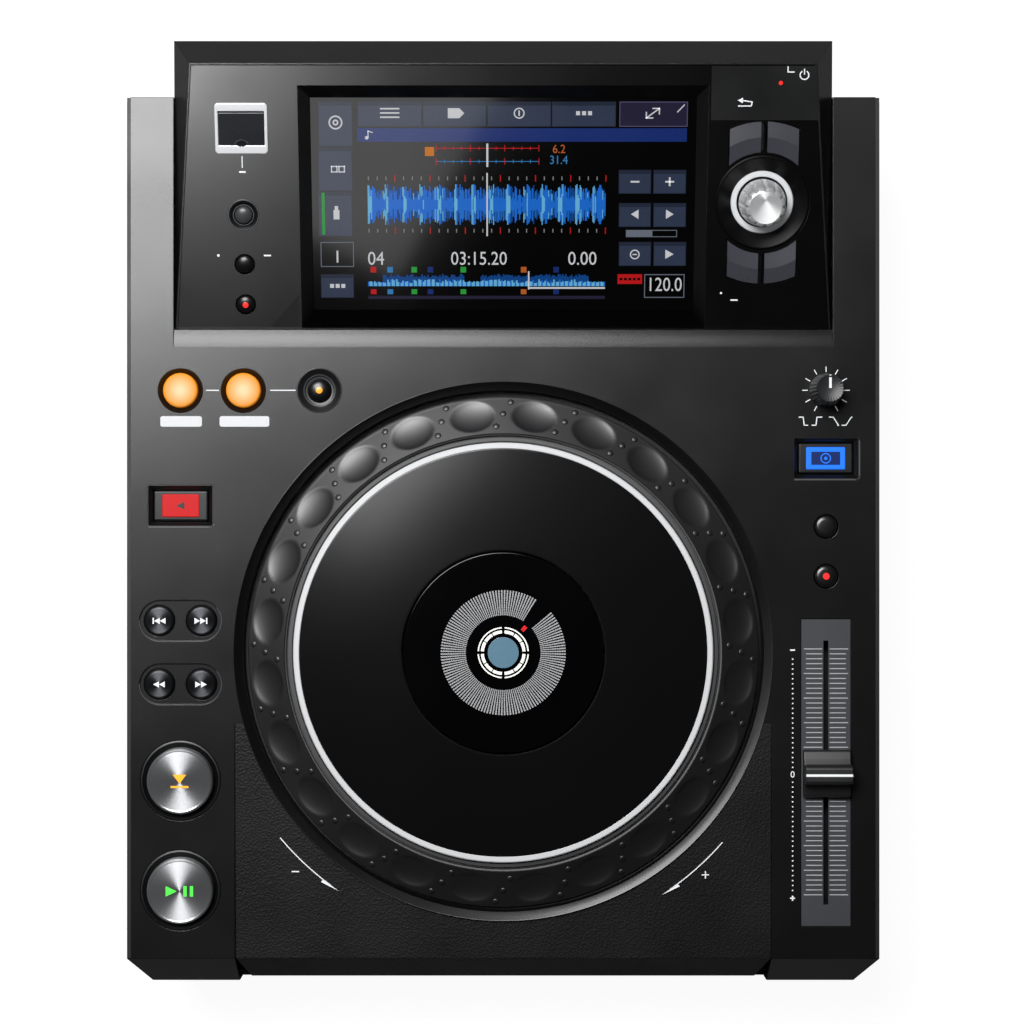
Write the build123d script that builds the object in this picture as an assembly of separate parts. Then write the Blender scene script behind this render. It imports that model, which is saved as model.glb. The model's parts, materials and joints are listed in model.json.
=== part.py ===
from build123d import *
import os
from math import asin, cos, degrees, radians, sin, sqrt, tan

# Tabletop DJ media player, in millimetres. The origin is the middle of its footprint on the table,
# with +X to the right, +Y to the rear and +Z up.

# Clearances
FIT = 0.2  # round a piece that is set into its seat
MOVE = 0.3  # round a button or cover that moves
RUNNING = 0.05  # radial, in a running fit
SEAT = 0.1  # under a flange that is held up by its spring

# Case mouldings
WALL = 2.5
DECK_THICKNESS = 3.0
DECK_Z = 83.7
PARTING_Z = 36.0
FOOT_HEIGHT = 6.0
FOOT_RADIUS = 12.0
FOOT_INSET = 24.0
NOSE_RUN = 12.1  # the front slope's length, seen from above
NOSE_DROP = 20.0
CORNER_CUT = 7.9
CORNER_RADIUS = 2.4
EDGE_BREAK = 0.8

# Jog wheel, by radius from its axis
DIAL_RADIUS = 103.5
DIAL_RISE = 11.0  # the dial's inner rim above the deck
DIAL_EDGE_RISE = 2.3  # its outer edge above the deck
DIAL_SKIRT = 5.0  # how far the skirt hangs below the deck
DIAL_FACE = 15.5  # the sloping face, measured along the radius
DIAL_WALL = 3.0
DIMPLES = 24
DIMPLE_START = 7.5
DIMPLE_WIDTH = 11.3  # along the radius
DIMPLE_LENGTH = 17.3  # round the dial
DIMPLE_DEPTH = 1.5
RIM_GROOVE = 3.0
RIM_GROOVE_DEPTH = 0.8
WELL_GAP = 6.17
WELL_LIP = 0.9
WELL_DEPTH = 10.0
WELL_FLOOR = 2.0
WELL_TAPER = 2.6
PLATE_RISE = 12.0
PLATE_THICKNESS = 2.2
PLATE_FLANGE = 0.8
PLATE_GAP = 0.55
PLATE_TRAVEL = 0.5
GUIDE_SIDE = 6.0
ACCENT_WIDTH = 2.45
DISPLAY_RADIUS = 40.4
DISPLAY_GAP = 0.6
DISPLAY_SINK = 0.3  # the centre display's face below the top plate
DISPLAY_THICKNESS = 6.0
SPIGOT_LENGTH = 6.0  # of the centre display's spigot in its post

# Jog bearing and encoder
BEARING_BORE = 15.0  # radius
BEARING_RACE = 3.15
BEARING_OUTER = 21.0  # radius
BEARING_WIDTH = 7.0
BEARING_SHOULDER = 1.2
POST_BORE = 9.0
HUB_WALL = 4.5
WEB_THICKNESS = 2.0
ENCODER_RADIUS = 46.0
ENCODER_THICKNESS = 1.0
ENCODER_SLOTS = 12
ENCODER_SLOT_LENGTH = 5.0
ENCODER_SLOT_WIDTH = 3.0
ENCODER_RISE = 1.9  # above the well floor
SENSOR_WIDTH = 8.0
SENSOR_HEIGHT = 5.4
SENSOR_SLOT = 2.2

# Layout of the deck, from the front edge to the rear
COLUMN_WIDTH = 43.28
FRONT_MARGIN = 15.33
REAR_MARGIN = 14.03
RAMP_RUN = 7.1
RAMP_DROP = 5.7
FASCIA_GAP = 0.5
FASCIA_LENGTH = 107.1
FASCIA_TILT = 15.0
FASCIA_DROP = 3.5  # the fascia's front edge below the deck
REAR_RUN = 13.35  # the housing's rear slope, seen from above
REAR_OVERHANG = 22.8  # the housing behind the deck's rear edge
SHOULDER = 18.95  # deck left on each side of the display housing
BAY_SETBACK = 6.6
BAY_INSET = 6.0

# Front apron
APRON_SETBACK = 1.8
APRON_SINK = 1.5
APRON_THICKNESS = 2.0
APRON_FADE = 95.6  # from the deck's front edge to where the apron meets the deck
APRON_LEDGE = 5.0
APRON_CORNER = 5.0

# Display housing, fascia and screen
CREST_INSET = 9.2  # the crest's end inside the pocket's side
BASE_INSET = 0.5
FASCIA_THICKNESS = 2.2
FASCIA_RIM = 0.8
LEDGE_FRONT = 3.0
OPENING_INSET = 10.0
RECESS_INSET = 52.0  # from the pocket's side
RECESS_BORDER = 8.8  # fascia left behind the recess
RECESS_START = 0.4
RECESS_DEPTH = 4.5
RECESS_SIDE_RUN = 4.65
RECESS_FRONT_RUN = 6.7
RECESS_REAR_RUN = 5.2
RECESS_WALL = 1.2
GLASS_THICKNESS = 1.1
GLASS_MARGIN = 2.0
LCD_THICKNESS = 5.4
SKIRT = 5.0

# Round buttons: cap radius, hole or recess radius, and the cap's height above its panel
CUE_RADIUS = 13.4
CUE_HEIGHT = 3.0
RING_RADIUS = 16.3
RING_DEPTH = 4.2
LOOP_RADIUS = 7.1
LOOP_RECESS = 8.95
LOOP_HEIGHT = 0.8
RELOOP_RADIUS = 4.7
RELOOP_FLOOR = 6.3
RELOOP_HEIGHT = 1.2
RECESS_SINK = 1.6
SKIP_RADIUS = 6.1
SKIP_HEIGHT = 1.2
PILL_LENGTH = 33.2
PILL_WIDTH = 16.6
PILL_SINK = 0.8
SKIP_SPACING = 17.1
DOT_RADIUS = 4.7
DOT_HEIGHT = 0.8
SMALL_RADIUS = 3.8
SMALL_HEIGHT = 1.4
STOP_RADIUS = 3.6
STOP_RECESS = 6.1

# Rectangular keys
KEY_LENGTH = 22.0
KEY_WIDTH = 12.2
KEY_BEVEL = 2.0
KEY_SINK = 1.4

# What is common to the buttons
CAP_CHAMFER = 0.5
CUE_BEVEL = 0.8
DOME_BEVEL = 1.2
LUG = 1.2
LUG_WIDTH = 3.0
LUG_THICKNESS = 1.2
STEM_SIDE = 3.0
SWITCH_SIDE = 6.0
SWITCH_HEIGHT = 4.0
BOARD_THICKNESS = 1.6
DECK_BOARD_DEPTH = 15.0
FASCIA_BOARD_DEPTH = 10.5
LONG_TRAVEL = 0.8
SHORT_TRAVEL = 0.5

# Places on the deck: the columns' middle from the side edge, then distances along the deck
COLUMN_MIDDLE = 21.7
PLAY_FROM_FRONT = 27.8
CUE_FROM_FRONT = 72.4
SEARCH_FROM_FRONT = 111.6
TRACK_FROM_FRONT = 137.4
FADER_FROM_FRONT = 75.6
MASTER_TEMPO_FROM_FRONT = 155.5
TEMPO_RANGE_OFFSET = 3.8  # in front of the middle between master tempo and jog mode
LOOP_FROM_RAMP = 17.6
LOOP_OUT_OFFSET = 25.6
RELOOP_OFFSET = 56.5
REVERSE_FROM_RAMP = 64.5
JOG_MODE_FROM_RAMP = 45.2

# Tempo slider
TEMPO_TRAVEL = 100.0
TEMPO_PLATE_LENGTH = 124.8
TEMPO_PLATE_WIDTH = 20.0
TEMPO_PLATE_THICKNESS = 0.8
TEMPO_PLATE_SINK = 0.4
TEMPO_SLOT = 2.0
TEMPO_KNOB_LENGTH = 19.3
TEMPO_KNOB_WIDTH = 19.0
TEMPO_KNOB_HEIGHT = 12.0
TEMPO_KNOB_BASE = 4.0
TEMPO_RIDGE = 6.9
LEVER_WIDTH = 5.0
LEVER_THICKNESS = 1.2
FADER_WIDTH = 13.0
FADER_DEPTH = 11.0
FADER_WALL = 1.0
SLOT_MARGIN = 1.2

# Speed knob
SPEED_KNOB_RADIUS = 6.9
SPEED_KNOB_TOP = 5.7
SPEED_KNOB_HEIGHT = 14.5
SPEED_SHAFT = 3.0
POT_SIDE = 10.0
POT_HEIGHT = 6.0

# Controls on the fascia, from the middle and up the slope from its front edge
CONTROLS_INSET = 29.3  # the left controls' middle, from the pocket's side
STOP_UP = 46.6
TIME_UP = 26.6
QUANTIZE_UP = 10.1
USB_UP = 81.4
USB_FRAME_WIDTH = 21.1
USB_FRAME_LENGTH = 20.1
USB_FRAME_RISE = 0.9
USB_WINDOW_WIDTH = 18.4
USB_WINDOW_LENGTH = 13.5
USB_FRAME_WALL = 0.8
USB_COVER_THICKNESS = 1.2
USB_HINGE_RADIUS = 0.6
USB_PORT_WIDTH = 13.1
USB_PORT_HEIGHT = 5.7
USB_PORT_DEPTH = 11.0
USB_PORT_SINK = 3.0
USB_SHELL = 0.4
USB_TONGUE = 1.8

SELECTOR_INSET = 29.6  # the selector's middle, from the pocket's side
SELECTOR_UP = 51.5
DISH_RADIUS = 18.9
DISH_DEPTH = 2.0
DISH_THICKNESS = 1.2
HALO_RADIUS = 12.6
HALO_WIDTH = 2.3
HALO_THICKNESS = 1.3
KNOB_RADIUS = 9.6
KNOB_TOP_RADIUS = 8.0
KNOB_HEIGHT = 14.0
KNOB_CLEAR = 1.0
KNOB_DISH = 0.6
SHAFT_RADIUS = 3.0
ENCODER_SIDE = 12.0
ENCODER_HEIGHT = 5.0
SECTOR_INNER = 20.4
SECTOR_OUTER = 32.6
SECTOR_HALF = 13.8
SECTOR_GAP = 1.3
SECTOR_HEIGHT = 1.0
SECTOR_RIDGE = 1.0
RIB_WIDTH = 1.0

# Rear panel and what it carries
PANEL_INSET = 10.0
PANEL_BOTTOM = 14.0
PANEL_TOP = 70.0
PANEL_THICKNESS = 1.2
PANEL_LAP = 3.0
SOCKET_ROW = 16.0  # the sockets' middle above the panel window's lower edge
INLET_INSET = 26.0  # the inlet's middle, from the panel window's side
INLET_WIDTH = 27.0
INLET_HEIGHT = 19.8
INLET_FLANGE = 2.0
INLET_DEPTH = 24.0
INLET_CAVITY_WIDTH = 24.2
INLET_CAVITY_HEIGHT = 16.4
INLET_CAVITY_DEPTH = 16.0
PIN_WIDTH = 2.0
PIN_HEIGHT = 4.0
PIN_SPACING = 7.0
PIN_SETBACK = 4.0
POWER_INSET = 60.0  # the power button's middle, from the panel window's side
POWER_WIDTH = 14.0
POWER_HEIGHT = 9.0
POWER_TRAVEL = 2.0
POWER_PROUD = 3.0
SWITCH_BODY = 12.0
LAN_X = 14.0
LAN_WIDTH = 16.0
LAN_HEIGHT = 13.4
LAN_CAVITY_WIDTH = 11.7
LAN_CAVITY_HEIGHT = 8.6
LAN_DEPTH = 21.0
LAN_CAVITY_DEPTH = 13.0
USBB_X = -14.0
USBB_WIDTH = 12.0
USBB_HEIGHT = 11.0
USBB_CAVITY_WIDTH = 8.5
USBB_CAVITY_HEIGHT = 7.8
USBB_TONGUE_WIDTH = 5.6
USBB_TONGUE_HEIGHT = 3.2
USBB_DEPTH = 16.0
USBB_CAVITY_DEPTH = 9.0
JACK_INSET = 38.0  # the outer jack's middle, from the panel window's side
JACK_SPACING = 18.0
JACK_RADIUS = 4.15
JACK_LENGTH = 8.0
JACK_HOLE = 1.6
JACK_COLLAR = 5.5  # radius of the plastic collar that fills the panel's hole
JACK_COLLAR_PROUD = 0.5
JACK_BODY = 12.0
JACK_DEPTH = 12.0

# Boards inside and screws
MAIN_BOARD_DEPTH = 105.0
MAIN_BOARD_GAP = 12.0
SUPPLY_WIDTH = 54.0
SUPPLY_OFFSET = 5.0  # its middle, from the inlet's
BOARD_SPACING = 8.0
POST_INSET = 6.0
PROCESSOR_SIDE = 30.0
PROCESSOR_HEIGHT = 3.0
HEAT_SINK_HEIGHT = 7.0
HEAT_SINK_FINS = 6
HEAT_SINK_FIN = 1.5
REGULATOR_WIDTH = 22.0
REGULATOR_LENGTH = 16.0
REGULATOR_HEIGHT = 2.0
TRANSFORMER_WIDTH = 26.0
TRANSFORMER_LENGTH = 22.0
TRANSFORMER_HEIGHT = 22.0
TRANSFORMER_OFFSET = 8.0  # from the supply board's middle
TRANSFORMER_FROM_FRONT = 20.0
CAPACITOR_RADIUS = 8.0
CAPACITOR_HEIGHT = 26.0
CAPACITOR_OFFSET = 16.0  # from the supply board's middle
CAPACITOR_FROM_FRONT = 22.0
FILTER_WIDTH = 20.0
FILTER_LENGTH = 14.0
FILTER_HEIGHT = 14.0
FILTER_FROM_REAR = 14.0
SUPPLY_DEPTH = 62.0
SUPPLY_GAP = 8.0
BOARD_POST = 5.0
SCREW_RADIUS = 1.5
SCREW_HEAD = 3.0
SCREW_HEAD_THICKNESS = 2.0
SCREW_LENGTH = 12.0
BOSS_SIDE = 9.0
BOSS_FROM_SIDE = 8.6
BOSS_FROM_FRONT = 6.2
BOSS_FROM_REAR = 10.0

# What follows from the sizes above
WELL_RADIUS = DIAL_RADIUS + WELL_GAP
WIDTH = 2 * (WELL_RADIUS + COLUMN_WIDTH)
TILT = radians(FASCIA_TILT)
FASCIA_REACH = FASCIA_LENGTH * cos(TILT)
BLOCK_START = FRONT_MARGIN + 2 * WELL_RADIUS + REAR_MARGIN
DEPTH = NOSE_RUN + BLOCK_START + RAMP_RUN + FASCIA_GAP + FASCIA_REACH + REAR_RUN
FRONT_Y = -DEPTH / 2
REAR_Y = DEPTH / 2
DECK_FRONT_Y = FRONT_Y + NOSE_RUN
DECK_REAR_Y = REAR_Y - REAR_OVERHANG
BAY_REAR_Y = REAR_Y - BAY_SETBACK
JOG_Y = DECK_FRONT_Y + FRONT_MARGIN + WELL_RADIUS
RAMP_Y = DECK_FRONT_Y + BLOCK_START
POCKET_Z = DECK_Z - RAMP_DROP
POCKET_HALF = WIDTH / 2 - SHOULDER
BAY_HALF = POCKET_HALF - BAY_INSET
OPENING_HALF = BAY_HALF - OPENING_INSET / 2
FASCIA_Y = RAMP_Y + RAMP_RUN + FASCIA_GAP
FASCIA_Z = DECK_Z - FASCIA_DROP
CREST_Y = FASCIA_Y + FASCIA_REACH
CREST_Z = FASCIA_Z + FASCIA_LENGTH * sin(TILT)
APRON_HALF = WELL_RADIUS - 0.67
DECK_UNDER = DECK_Z - DECK_THICKNESS
FLOOR_Z = FOOT_HEIGHT + WALL
WELL_FLOOR_Z = DECK_Z - WELL_DEPTH
COLUMN_X = WIDTH / 2 - COLUMN_MIDDLE
PANEL_HALF = BAY_HALF - PANEL_INSET
STOP_X = CONTROLS_INSET - POCKET_HALF
SELECTOR_X = POCKET_HALF - SELECTOR_INSET
RECESS_HALF = POCKET_HALF - RECESS_INSET
RECESS_LENGTH = FASCIA_LENGTH - RECESS_BORDER
INLET_X = PANEL_HALF - INLET_INSET
POWER_X = PANEL_HALF - POWER_INSET
JACKS_X = (JACK_INSET + JACK_SPACING - PANEL_HALF, JACK_INSET - PANEL_HALF)
SUPPLY_LEFT = INLET_X + SUPPLY_OFFSET - SUPPLY_WIDTH / 2
SUPPLY_RIGHT = SUPPLY_LEFT + SUPPLY_WIDTH
MAIN_BOARD_LEFT = -PANEL_HALF
MAIN_BOARD_RIGHT = SUPPLY_LEFT - BOARD_SPACING
PANEL_Y = BAY_REAR_Y - WALL  # the panel's outer face
SOCKET_Z = PANEL_BOTTOM + SOCKET_ROW

FASCIA = Plane(origin=(0, FASCIA_Y, FASCIA_Z), x_dir=(1, 0, 0), z_dir=(0, -sin(TILT), cos(TILT))).location

DECK_BUTTONS_LEFT = (
    (-COLUMN_X, DECK_FRONT_Y + PLAY_FROM_FRONT),
    (-COLUMN_X, DECK_FRONT_Y + CUE_FROM_FRONT),
    (-COLUMN_X - SKIP_SPACING / 2, DECK_FRONT_Y + SEARCH_FROM_FRONT),
    (-COLUMN_X + SKIP_SPACING / 2, DECK_FRONT_Y + SEARCH_FROM_FRONT),
    (-COLUMN_X - SKIP_SPACING / 2, DECK_FRONT_Y + TRACK_FROM_FRONT),
    (-COLUMN_X + SKIP_SPACING / 2, DECK_FRONT_Y + TRACK_FROM_FRONT),
    (-COLUMN_X, RAMP_Y - REVERSE_FROM_RAMP),
    (-COLUMN_X, RAMP_Y - LOOP_FROM_RAMP),
    (-COLUMN_X + LOOP_OUT_OFFSET, RAMP_Y - LOOP_FROM_RAMP),
    (-COLUMN_X + RELOOP_OFFSET, RAMP_Y - LOOP_FROM_RAMP),
)
PLAY, CUE, SEARCH_BACK, SEARCH_FORWARD, TRACK_PREV, TRACK_NEXT, REVERSE, LOOP_IN, LOOP_OUT, RELOOP = DECK_BUTTONS_LEFT
MASTER_TEMPO = (COLUMN_X, DECK_FRONT_Y + MASTER_TEMPO_FROM_FRONT)
JOG_MODE = (COLUMN_X, RAMP_Y - JOG_MODE_FROM_RAMP)
TEMPO_RANGE = (COLUMN_X, (MASTER_TEMPO[1] + JOG_MODE[1]) / 2 - TEMPO_RANGE_OFFSET)
SPEED = (COLUMN_X, RAMP_Y - LOOP_FROM_RAMP)
FADER_Y = DECK_FRONT_Y + FADER_FROM_FRONT
FASCIA_BUTTONS = ((STOP_X, STOP_UP), (STOP_X, TIME_UP), (STOP_X, QUANTIZE_UP))
SECTOR_MIDDLE = (SECTOR_GAP + SECTOR_HALF) / 2
BOSSES = [
    (side * (WIDTH / 2 - BOSS_FROM_SIDE), y)
    for side in (-1, 1)
    for y in (DECK_FRONT_Y + BOSS_FROM_FRONT, DECK_REAR_Y - BOSS_FROM_REAR)
]


# Shapes that many pieces use

def box(x0, x1, y0, y1, z0, z1):
    """Box between two corners."""
    return Pos((x0 + x1) / 2, (y0 + y1) / 2, (z0 + z1) / 2) * Box(x1 - x0, y1 - y0, z1 - z0)


def block(x, y, width, length, z0, z1):
    """Box on a middle point."""
    return box(x - width / 2, x + width / 2, y - length / 2, y + length / 2, z0, z1)


def rod(radius, x, y, z0, z1):
    """Upright cylinder."""
    return Pos(x, y, (z0 + z1) / 2) * Cylinder(radius, z1 - z0)


def ring(outer, inner, z0, z1):
    """Upright ring about the frame's own axis."""
    return rod(outer, 0, 0, z0, z1) - rod(inner, 0, 0, z0 - 1, z1 + 1)


def cone(bottom, top, x, y, z0, z1):
    """Upright cone with its radii at both ends."""
    return Pos(x, y, (z0 + z1) / 2) * Cone(bottom, top, z1 - z0)


def prism(points, half_width):
    """Prism across the middle, from an outline in Y and Z."""
    face = Plane.YZ * make_face(Polyline(*points, close=True))
    return extrude(face, half_width, both=True)


def turned(points):
    """Solid of revolution about the frame's own axis, from an outline in radius and height."""
    face = Plane.XZ * make_face(Polyline(*points, close=True))
    return revolve(face, Axis.Z)


def top_chamfer(solid, size):
    """Breaks the highest edges of a cap."""
    return chamfer(solid.edges().group_by(Axis.Z)[-1], size)


# Case

def case_plan(inset=0.0):
    """The case seen from above: cut front corners, a set-back middle and the connector bay behind."""
    half = WIDTH / 2
    right = [
        (0, FRONT_Y + APRON_SETBACK),
        (APRON_HALF, FRONT_Y + APRON_SETBACK),
        (APRON_HALF, FRONT_Y),
        (half - CORNER_CUT, FRONT_Y),
        (half, DECK_FRONT_Y),
        (half, DECK_REAR_Y),
        (BAY_HALF, DECK_REAR_Y),
        (BAY_HALF, BAY_REAR_Y),
    ]
    left = [(-x, y) for x, y in reversed(right[1:])]
    plan = make_face(Polyline(*right, *left, close=True))
    rear_corners = plan.vertices().filter_by(lambda v: abs(abs(v.X) - half) < 1e-6 and v.Y > 0)
    plan = fillet(rear_corners, CORNER_RADIUS)
    if inset:
        plan = offset(plan, -inset, kind=Kind.INTERSECTION)
    return plan


def nose_wedge(half_width, setback, sink, inset):
    """What the front slope takes off, moved inwards by inset."""
    run = NOSE_RUN - setback
    drop = NOSE_DROP - sink
    length = sqrt(run * run + drop * drop)
    top_y = DECK_FRONT_Y + inset * drop / length
    top_z = DECK_Z - sink - inset * run / length
    reach = 2.0
    points = [
        (top_y + reach * run, top_z + reach * drop),
        (top_y - reach * run, top_z - reach * drop),
        (FRONT_Y - NOSE_DROP, top_z - reach * drop),
        (FRONT_Y - NOSE_DROP, top_z + reach * drop),
    ]
    return prism(points, half_width)


def case_form(inset, bottom):
    """The whole upper moulding's outer form, or the hollow inside it."""
    form = Pos(0, 0, bottom) * extrude(case_plan(inset), DECK_Z - inset - bottom)
    return form - nose_wedge(WIDTH, 0, 0, inset)


def apron_profile(thickness, lift=0.0):
    """The apron's section: a plate that falls to the front edge and turns down the slope."""
    run = NOSE_RUN - APRON_SETBACK
    drop = NOSE_DROP - APRON_SINK
    length = sqrt(run * run + drop * drop)
    fade_y = DECK_FRONT_Y + APRON_FADE
    edge_z = DECK_Z - APRON_SINK
    inner_y = DECK_FRONT_Y + thickness * drop / length + thickness * run / length
    return [
        (fade_y, DECK_Z + lift),
        (DECK_FRONT_Y - lift, edge_z + lift),
        (DECK_FRONT_Y - run - lift, edge_z - drop + lift),
        (DECK_FRONT_Y - run - lift, edge_z - drop - thickness),
        (DECK_FRONT_Y - run + thickness, edge_z - drop - thickness),
        (inner_y, edge_z - thickness),
        (fade_y, DECK_Z - thickness),
    ]


def well_hole(clearance):
    """The round hole that the jog wheel's well ring passes through."""
    return rod(WELL_RADIUS - WELL_LIP + clearance, 0, JOG_Y, WELL_FLOOR_Z - WELL_FLOOR - 1, DECK_Z + 5)


def panel_window():
    return box(-PANEL_HALF, PANEL_HALF, PANEL_Y - 1, BAY_REAR_Y + 1, PANEL_BOTTOM, PANEL_TOP)


def lower_case():
    outer = Pos(0, 0, FOOT_HEIGHT) * extrude(case_plan(), PARTING_Z - FOOT_HEIGHT)
    hollow = Pos(0, 0, FLOOR_Z) * extrude(case_plan(WALL), PARTING_Z)
    case = outer - hollow
    case += [block(x, y, BOARD_POST, BOARD_POST, FLOOR_Z - 0.5, z) for x, y, z in board_posts()]
    case -= [rod(SCREW_RADIUS + FIT, x, y, FOOT_HEIGHT - 1, FLOOR_Z + 1) for x, y in BOSSES]
    return case - panel_window()


def upper_case():
    case = case_form(0, PARTING_Z) - case_form(WALL, PARTING_Z - 1)
    case += pocket_pan()
    case -= pocket_cut()
    case -= box(
        -OPENING_HALF, OPENING_HALF, FASCIA_Y + LEDGE_FRONT, BAY_REAR_Y - WALL - OPENING_INSET, PARTING_Z, DECK_Z
    )
    case -= apron_seat()
    case += [block(x, y, BOSS_SIDE, BOSS_SIDE, FLOOR_Z, DECK_UNDER + 0.5) for x, y in BOSSES]
    case -= [rod(SCREW_RADIUS + RUNNING, x, y, FLOOR_Z - 1, FOOT_HEIGHT + SCREW_LENGTH + 1) for x, y in BOSSES]
    board_z = DECK_Z - DECK_BOARD_DEPTH
    case += [block(x, y, BOARD_POST, BOARD_POST, board_z, DECK_UNDER + 0.5) for x, y in deck_board_posts()]
    case -= well_hole(FIT / 2)
    case -= deck_openings()
    return case - panel_window()


def pocket_pan():
    """What the sunk bed under the display housing is cut from."""
    pan = box(
        -POCKET_HALF - WALL, POCKET_HALF + WALL, RAMP_Y - WALL, BAY_REAR_Y, POCKET_Z - WALL, DECK_Z - DECK_THICKNESS / 2
    )
    return pan & case_form(0, PARTING_Z)


def pocket_cut():
    """The sunk bed of the display housing, with the ramp that leads down into it."""
    high = CREST_Z
    points = [
        (RAMP_Y, DECK_Z),
        (RAMP_Y + RAMP_RUN, POCKET_Z),
        (REAR_Y + 1, POCKET_Z),
        (REAR_Y + 1, high),
        (RAMP_Y, high),
    ]
    return prism(points, POCKET_HALF)


def apron_seat():
    """The step in the deck and the front wall that the apron lies in, open in its middle."""
    step = prism(apron_profile(APRON_THICKNESS, 5.0), APRON_HALF + FIT / 2)
    window = box(
        -APRON_HALF + APRON_LEDGE,
        APRON_HALF - APRON_LEDGE,
        DECK_FRONT_Y + 2 * APRON_LEDGE,
        JOG_Y,
        DECK_UNDER - APRON_THICKNESS - APRON_SINK - 3,
        DECK_Z,
    )
    return step + window


def front_apron():
    """The grained panel in front of the jog wheel."""
    apron = prism(apron_profile(APRON_THICKNESS), APRON_HALF)
    front = FRONT_Y + APRON_SETBACK
    for side in (-1, 1):
        corner = make_face(
            Polyline(
                (side * (APRON_HALF + 1), front - 1),
                (side * (APRON_HALF - APRON_CORNER), front - 1),
                (side * (APRON_HALF - APRON_CORNER), front),
                (side * APRON_HALF, DECK_FRONT_Y),
                (side * (APRON_HALF + 1), DECK_FRONT_Y),
                close=True,
            )
        )
        apron -= extrude(corner, DECK_Z)
    return apron - well_hole(FIT / 2)


def feet():
    x = WIDTH / 2 - FOOT_INSET
    places = [(sx * x, y) for sx in (-1, 1) for y in (FRONT_Y + FOOT_INSET, DECK_REAR_Y - FOOT_INSET)]
    foot = [cone(FOOT_RADIUS - 1, FOOT_RADIUS, x, y, 0, FOOT_HEIGHT) for x, y in places]
    return Compound(foot)


def case_screws():
    """Screws from below, through the floor into the long bosses of the upper case."""
    screws = []
    for x, y in BOSSES:
        shank = rod(SCREW_RADIUS, x, y, FOOT_HEIGHT, FOOT_HEIGHT + SCREW_LENGTH)
        screws.append(shank + rod(SCREW_HEAD, x, y, FOOT_HEIGHT - SCREW_HEAD_THICKNESS, FOOT_HEIGHT))
    return Compound(screws)


# Deck controls

def deck_openings():
    """Every hole and recess in the deck, apart from the jog wheel's."""
    cuts = []
    through = DECK_THICKNESS + 1
    for x, y in (PLAY, CUE):
        cuts.append(rod(RING_RADIUS + FIT / 2, x, y, -through, 1))
    for x, y in (LOOP_IN, LOOP_OUT):
        cuts.append(cone(LOOP_RADIUS + MOVE, LOOP_RECESS, x, y, -DECK_THICKNESS, 0))
    x, y = RELOOP
    cuts.append(rod(RELOOP_RADIUS + MOVE, x, y, -through, 1))
    cuts.append(cone(RELOOP_FLOOR, LOOP_RECESS, x, y, -RECESS_SINK, 0))
    for row in (TRACK_PREV, SEARCH_BACK):
        pill = extrude(SlotOverall(PILL_LENGTH, PILL_WIDTH), -PILL_SINK)
        cuts.append(Pos(-COLUMN_X, row[1]) * pill)
    for x, y in (TRACK_PREV, TRACK_NEXT, SEARCH_BACK, SEARCH_FORWARD):
        cuts.append(rod(SKIP_RADIUS + MOVE, x, y, -through, 1))
    for x, y in (MASTER_TEMPO, TEMPO_RANGE):
        cuts.append(rod(DOT_RADIUS + MOVE, x, y, -through, 1))
    for x, y in (REVERSE, JOG_MODE):
        mouth = Rectangle(KEY_LENGTH + 2 * (MOVE + KEY_BEVEL), KEY_WIDTH + 2 * (MOVE + KEY_BEVEL))
        cuts.append(Pos(x, y) * extrude(mouth, -KEY_BEVEL, taper=45))
        cuts.append(block(x, y, KEY_LENGTH + 2 * MOVE, KEY_WIDTH + 2 * MOVE, -through, 0))
    cuts.append(rod(SPEED_SHAFT + MOVE, *SPEED, -through, 1))
    plate_depth = TEMPO_PLATE_THICKNESS + TEMPO_PLATE_SINK
    plate_width = TEMPO_PLATE_WIDTH + 2 * FIT
    cuts.append(block(COLUMN_X, FADER_Y, plate_width, TEMPO_PLATE_LENGTH + 2 * FIT, -plate_depth, 1))
    cuts.append(block(COLUMN_X, FADER_Y, 2 * TEMPO_SLOT, slot_length() + 2 * FIT, -through, 0))
    return Pos(0, 0, DECK_Z) * Compound(cuts)


def lugs(length, width, seat):
    """Crossed bars under a cap, whose ends hold it under its panel."""
    low = seat - LUG_THICKNESS
    return block(0, 0, length, LUG_WIDTH, low, seat) + block(0, 0, LUG_WIDTH, width, low, seat)


def stem(x, y, depth, travel, top):
    """Square stem down to just above the switch."""
    return block(x, y, STEM_SIDE, STEM_SIDE, -depth + SWITCH_HEIGHT + travel + SEAT, top)


def round_button(radius, height, panel, depth, travel, bevel=0.0):
    """Push button in its panel's frame: face at z = 0, switch at the depth of its board."""
    seat = -panel - SEAT
    cap = rod(radius, 0, 0, seat, height)
    if bevel:
        cap = top_chamfer(cap, bevel)
    reach = 2 * (radius + LUG)
    return cap + lugs(reach, reach, seat) + stem(0, 0, depth, travel, seat)


def deck_button(place, radius, height, travel, panel=DECK_THICKNESS, bevel=0.0):
    return Pos(*place, DECK_Z) * round_button(radius, height, panel, DECK_BOARD_DEPTH, travel, bevel)


def key_button(place):
    """Rectangular lit key, sunk in its bevelled recess."""
    seat = -DECK_THICKNESS - SEAT
    key = top_chamfer(block(0, 0, KEY_LENGTH, KEY_WIDTH, seat, -KEY_SINK), CAP_CHAMFER)
    key += lugs(KEY_LENGTH + 2 * LUG, KEY_WIDTH + 2 * LUG, seat)
    key += stem(0, 0, DECK_BOARD_DEPTH, SHORT_TRAVEL, seat)
    return Pos(*place, DECK_Z) * key


def transport_rings():
    """Sloping surrounds of the two large buttons."""
    inner = CUE_RADIUS + MOVE
    outline = [
        (inner, -RING_DEPTH),
        (RING_RADIUS, -RING_DEPTH),
        (RING_RADIUS, FIT),
        (RING_RADIUS - EDGE_BREAK, FIT),
        (inner, -RECESS_SINK),
    ]
    return Compound([Pos(*place, DECK_Z) * turned(outline) for place in (PLAY, CUE)])


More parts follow.
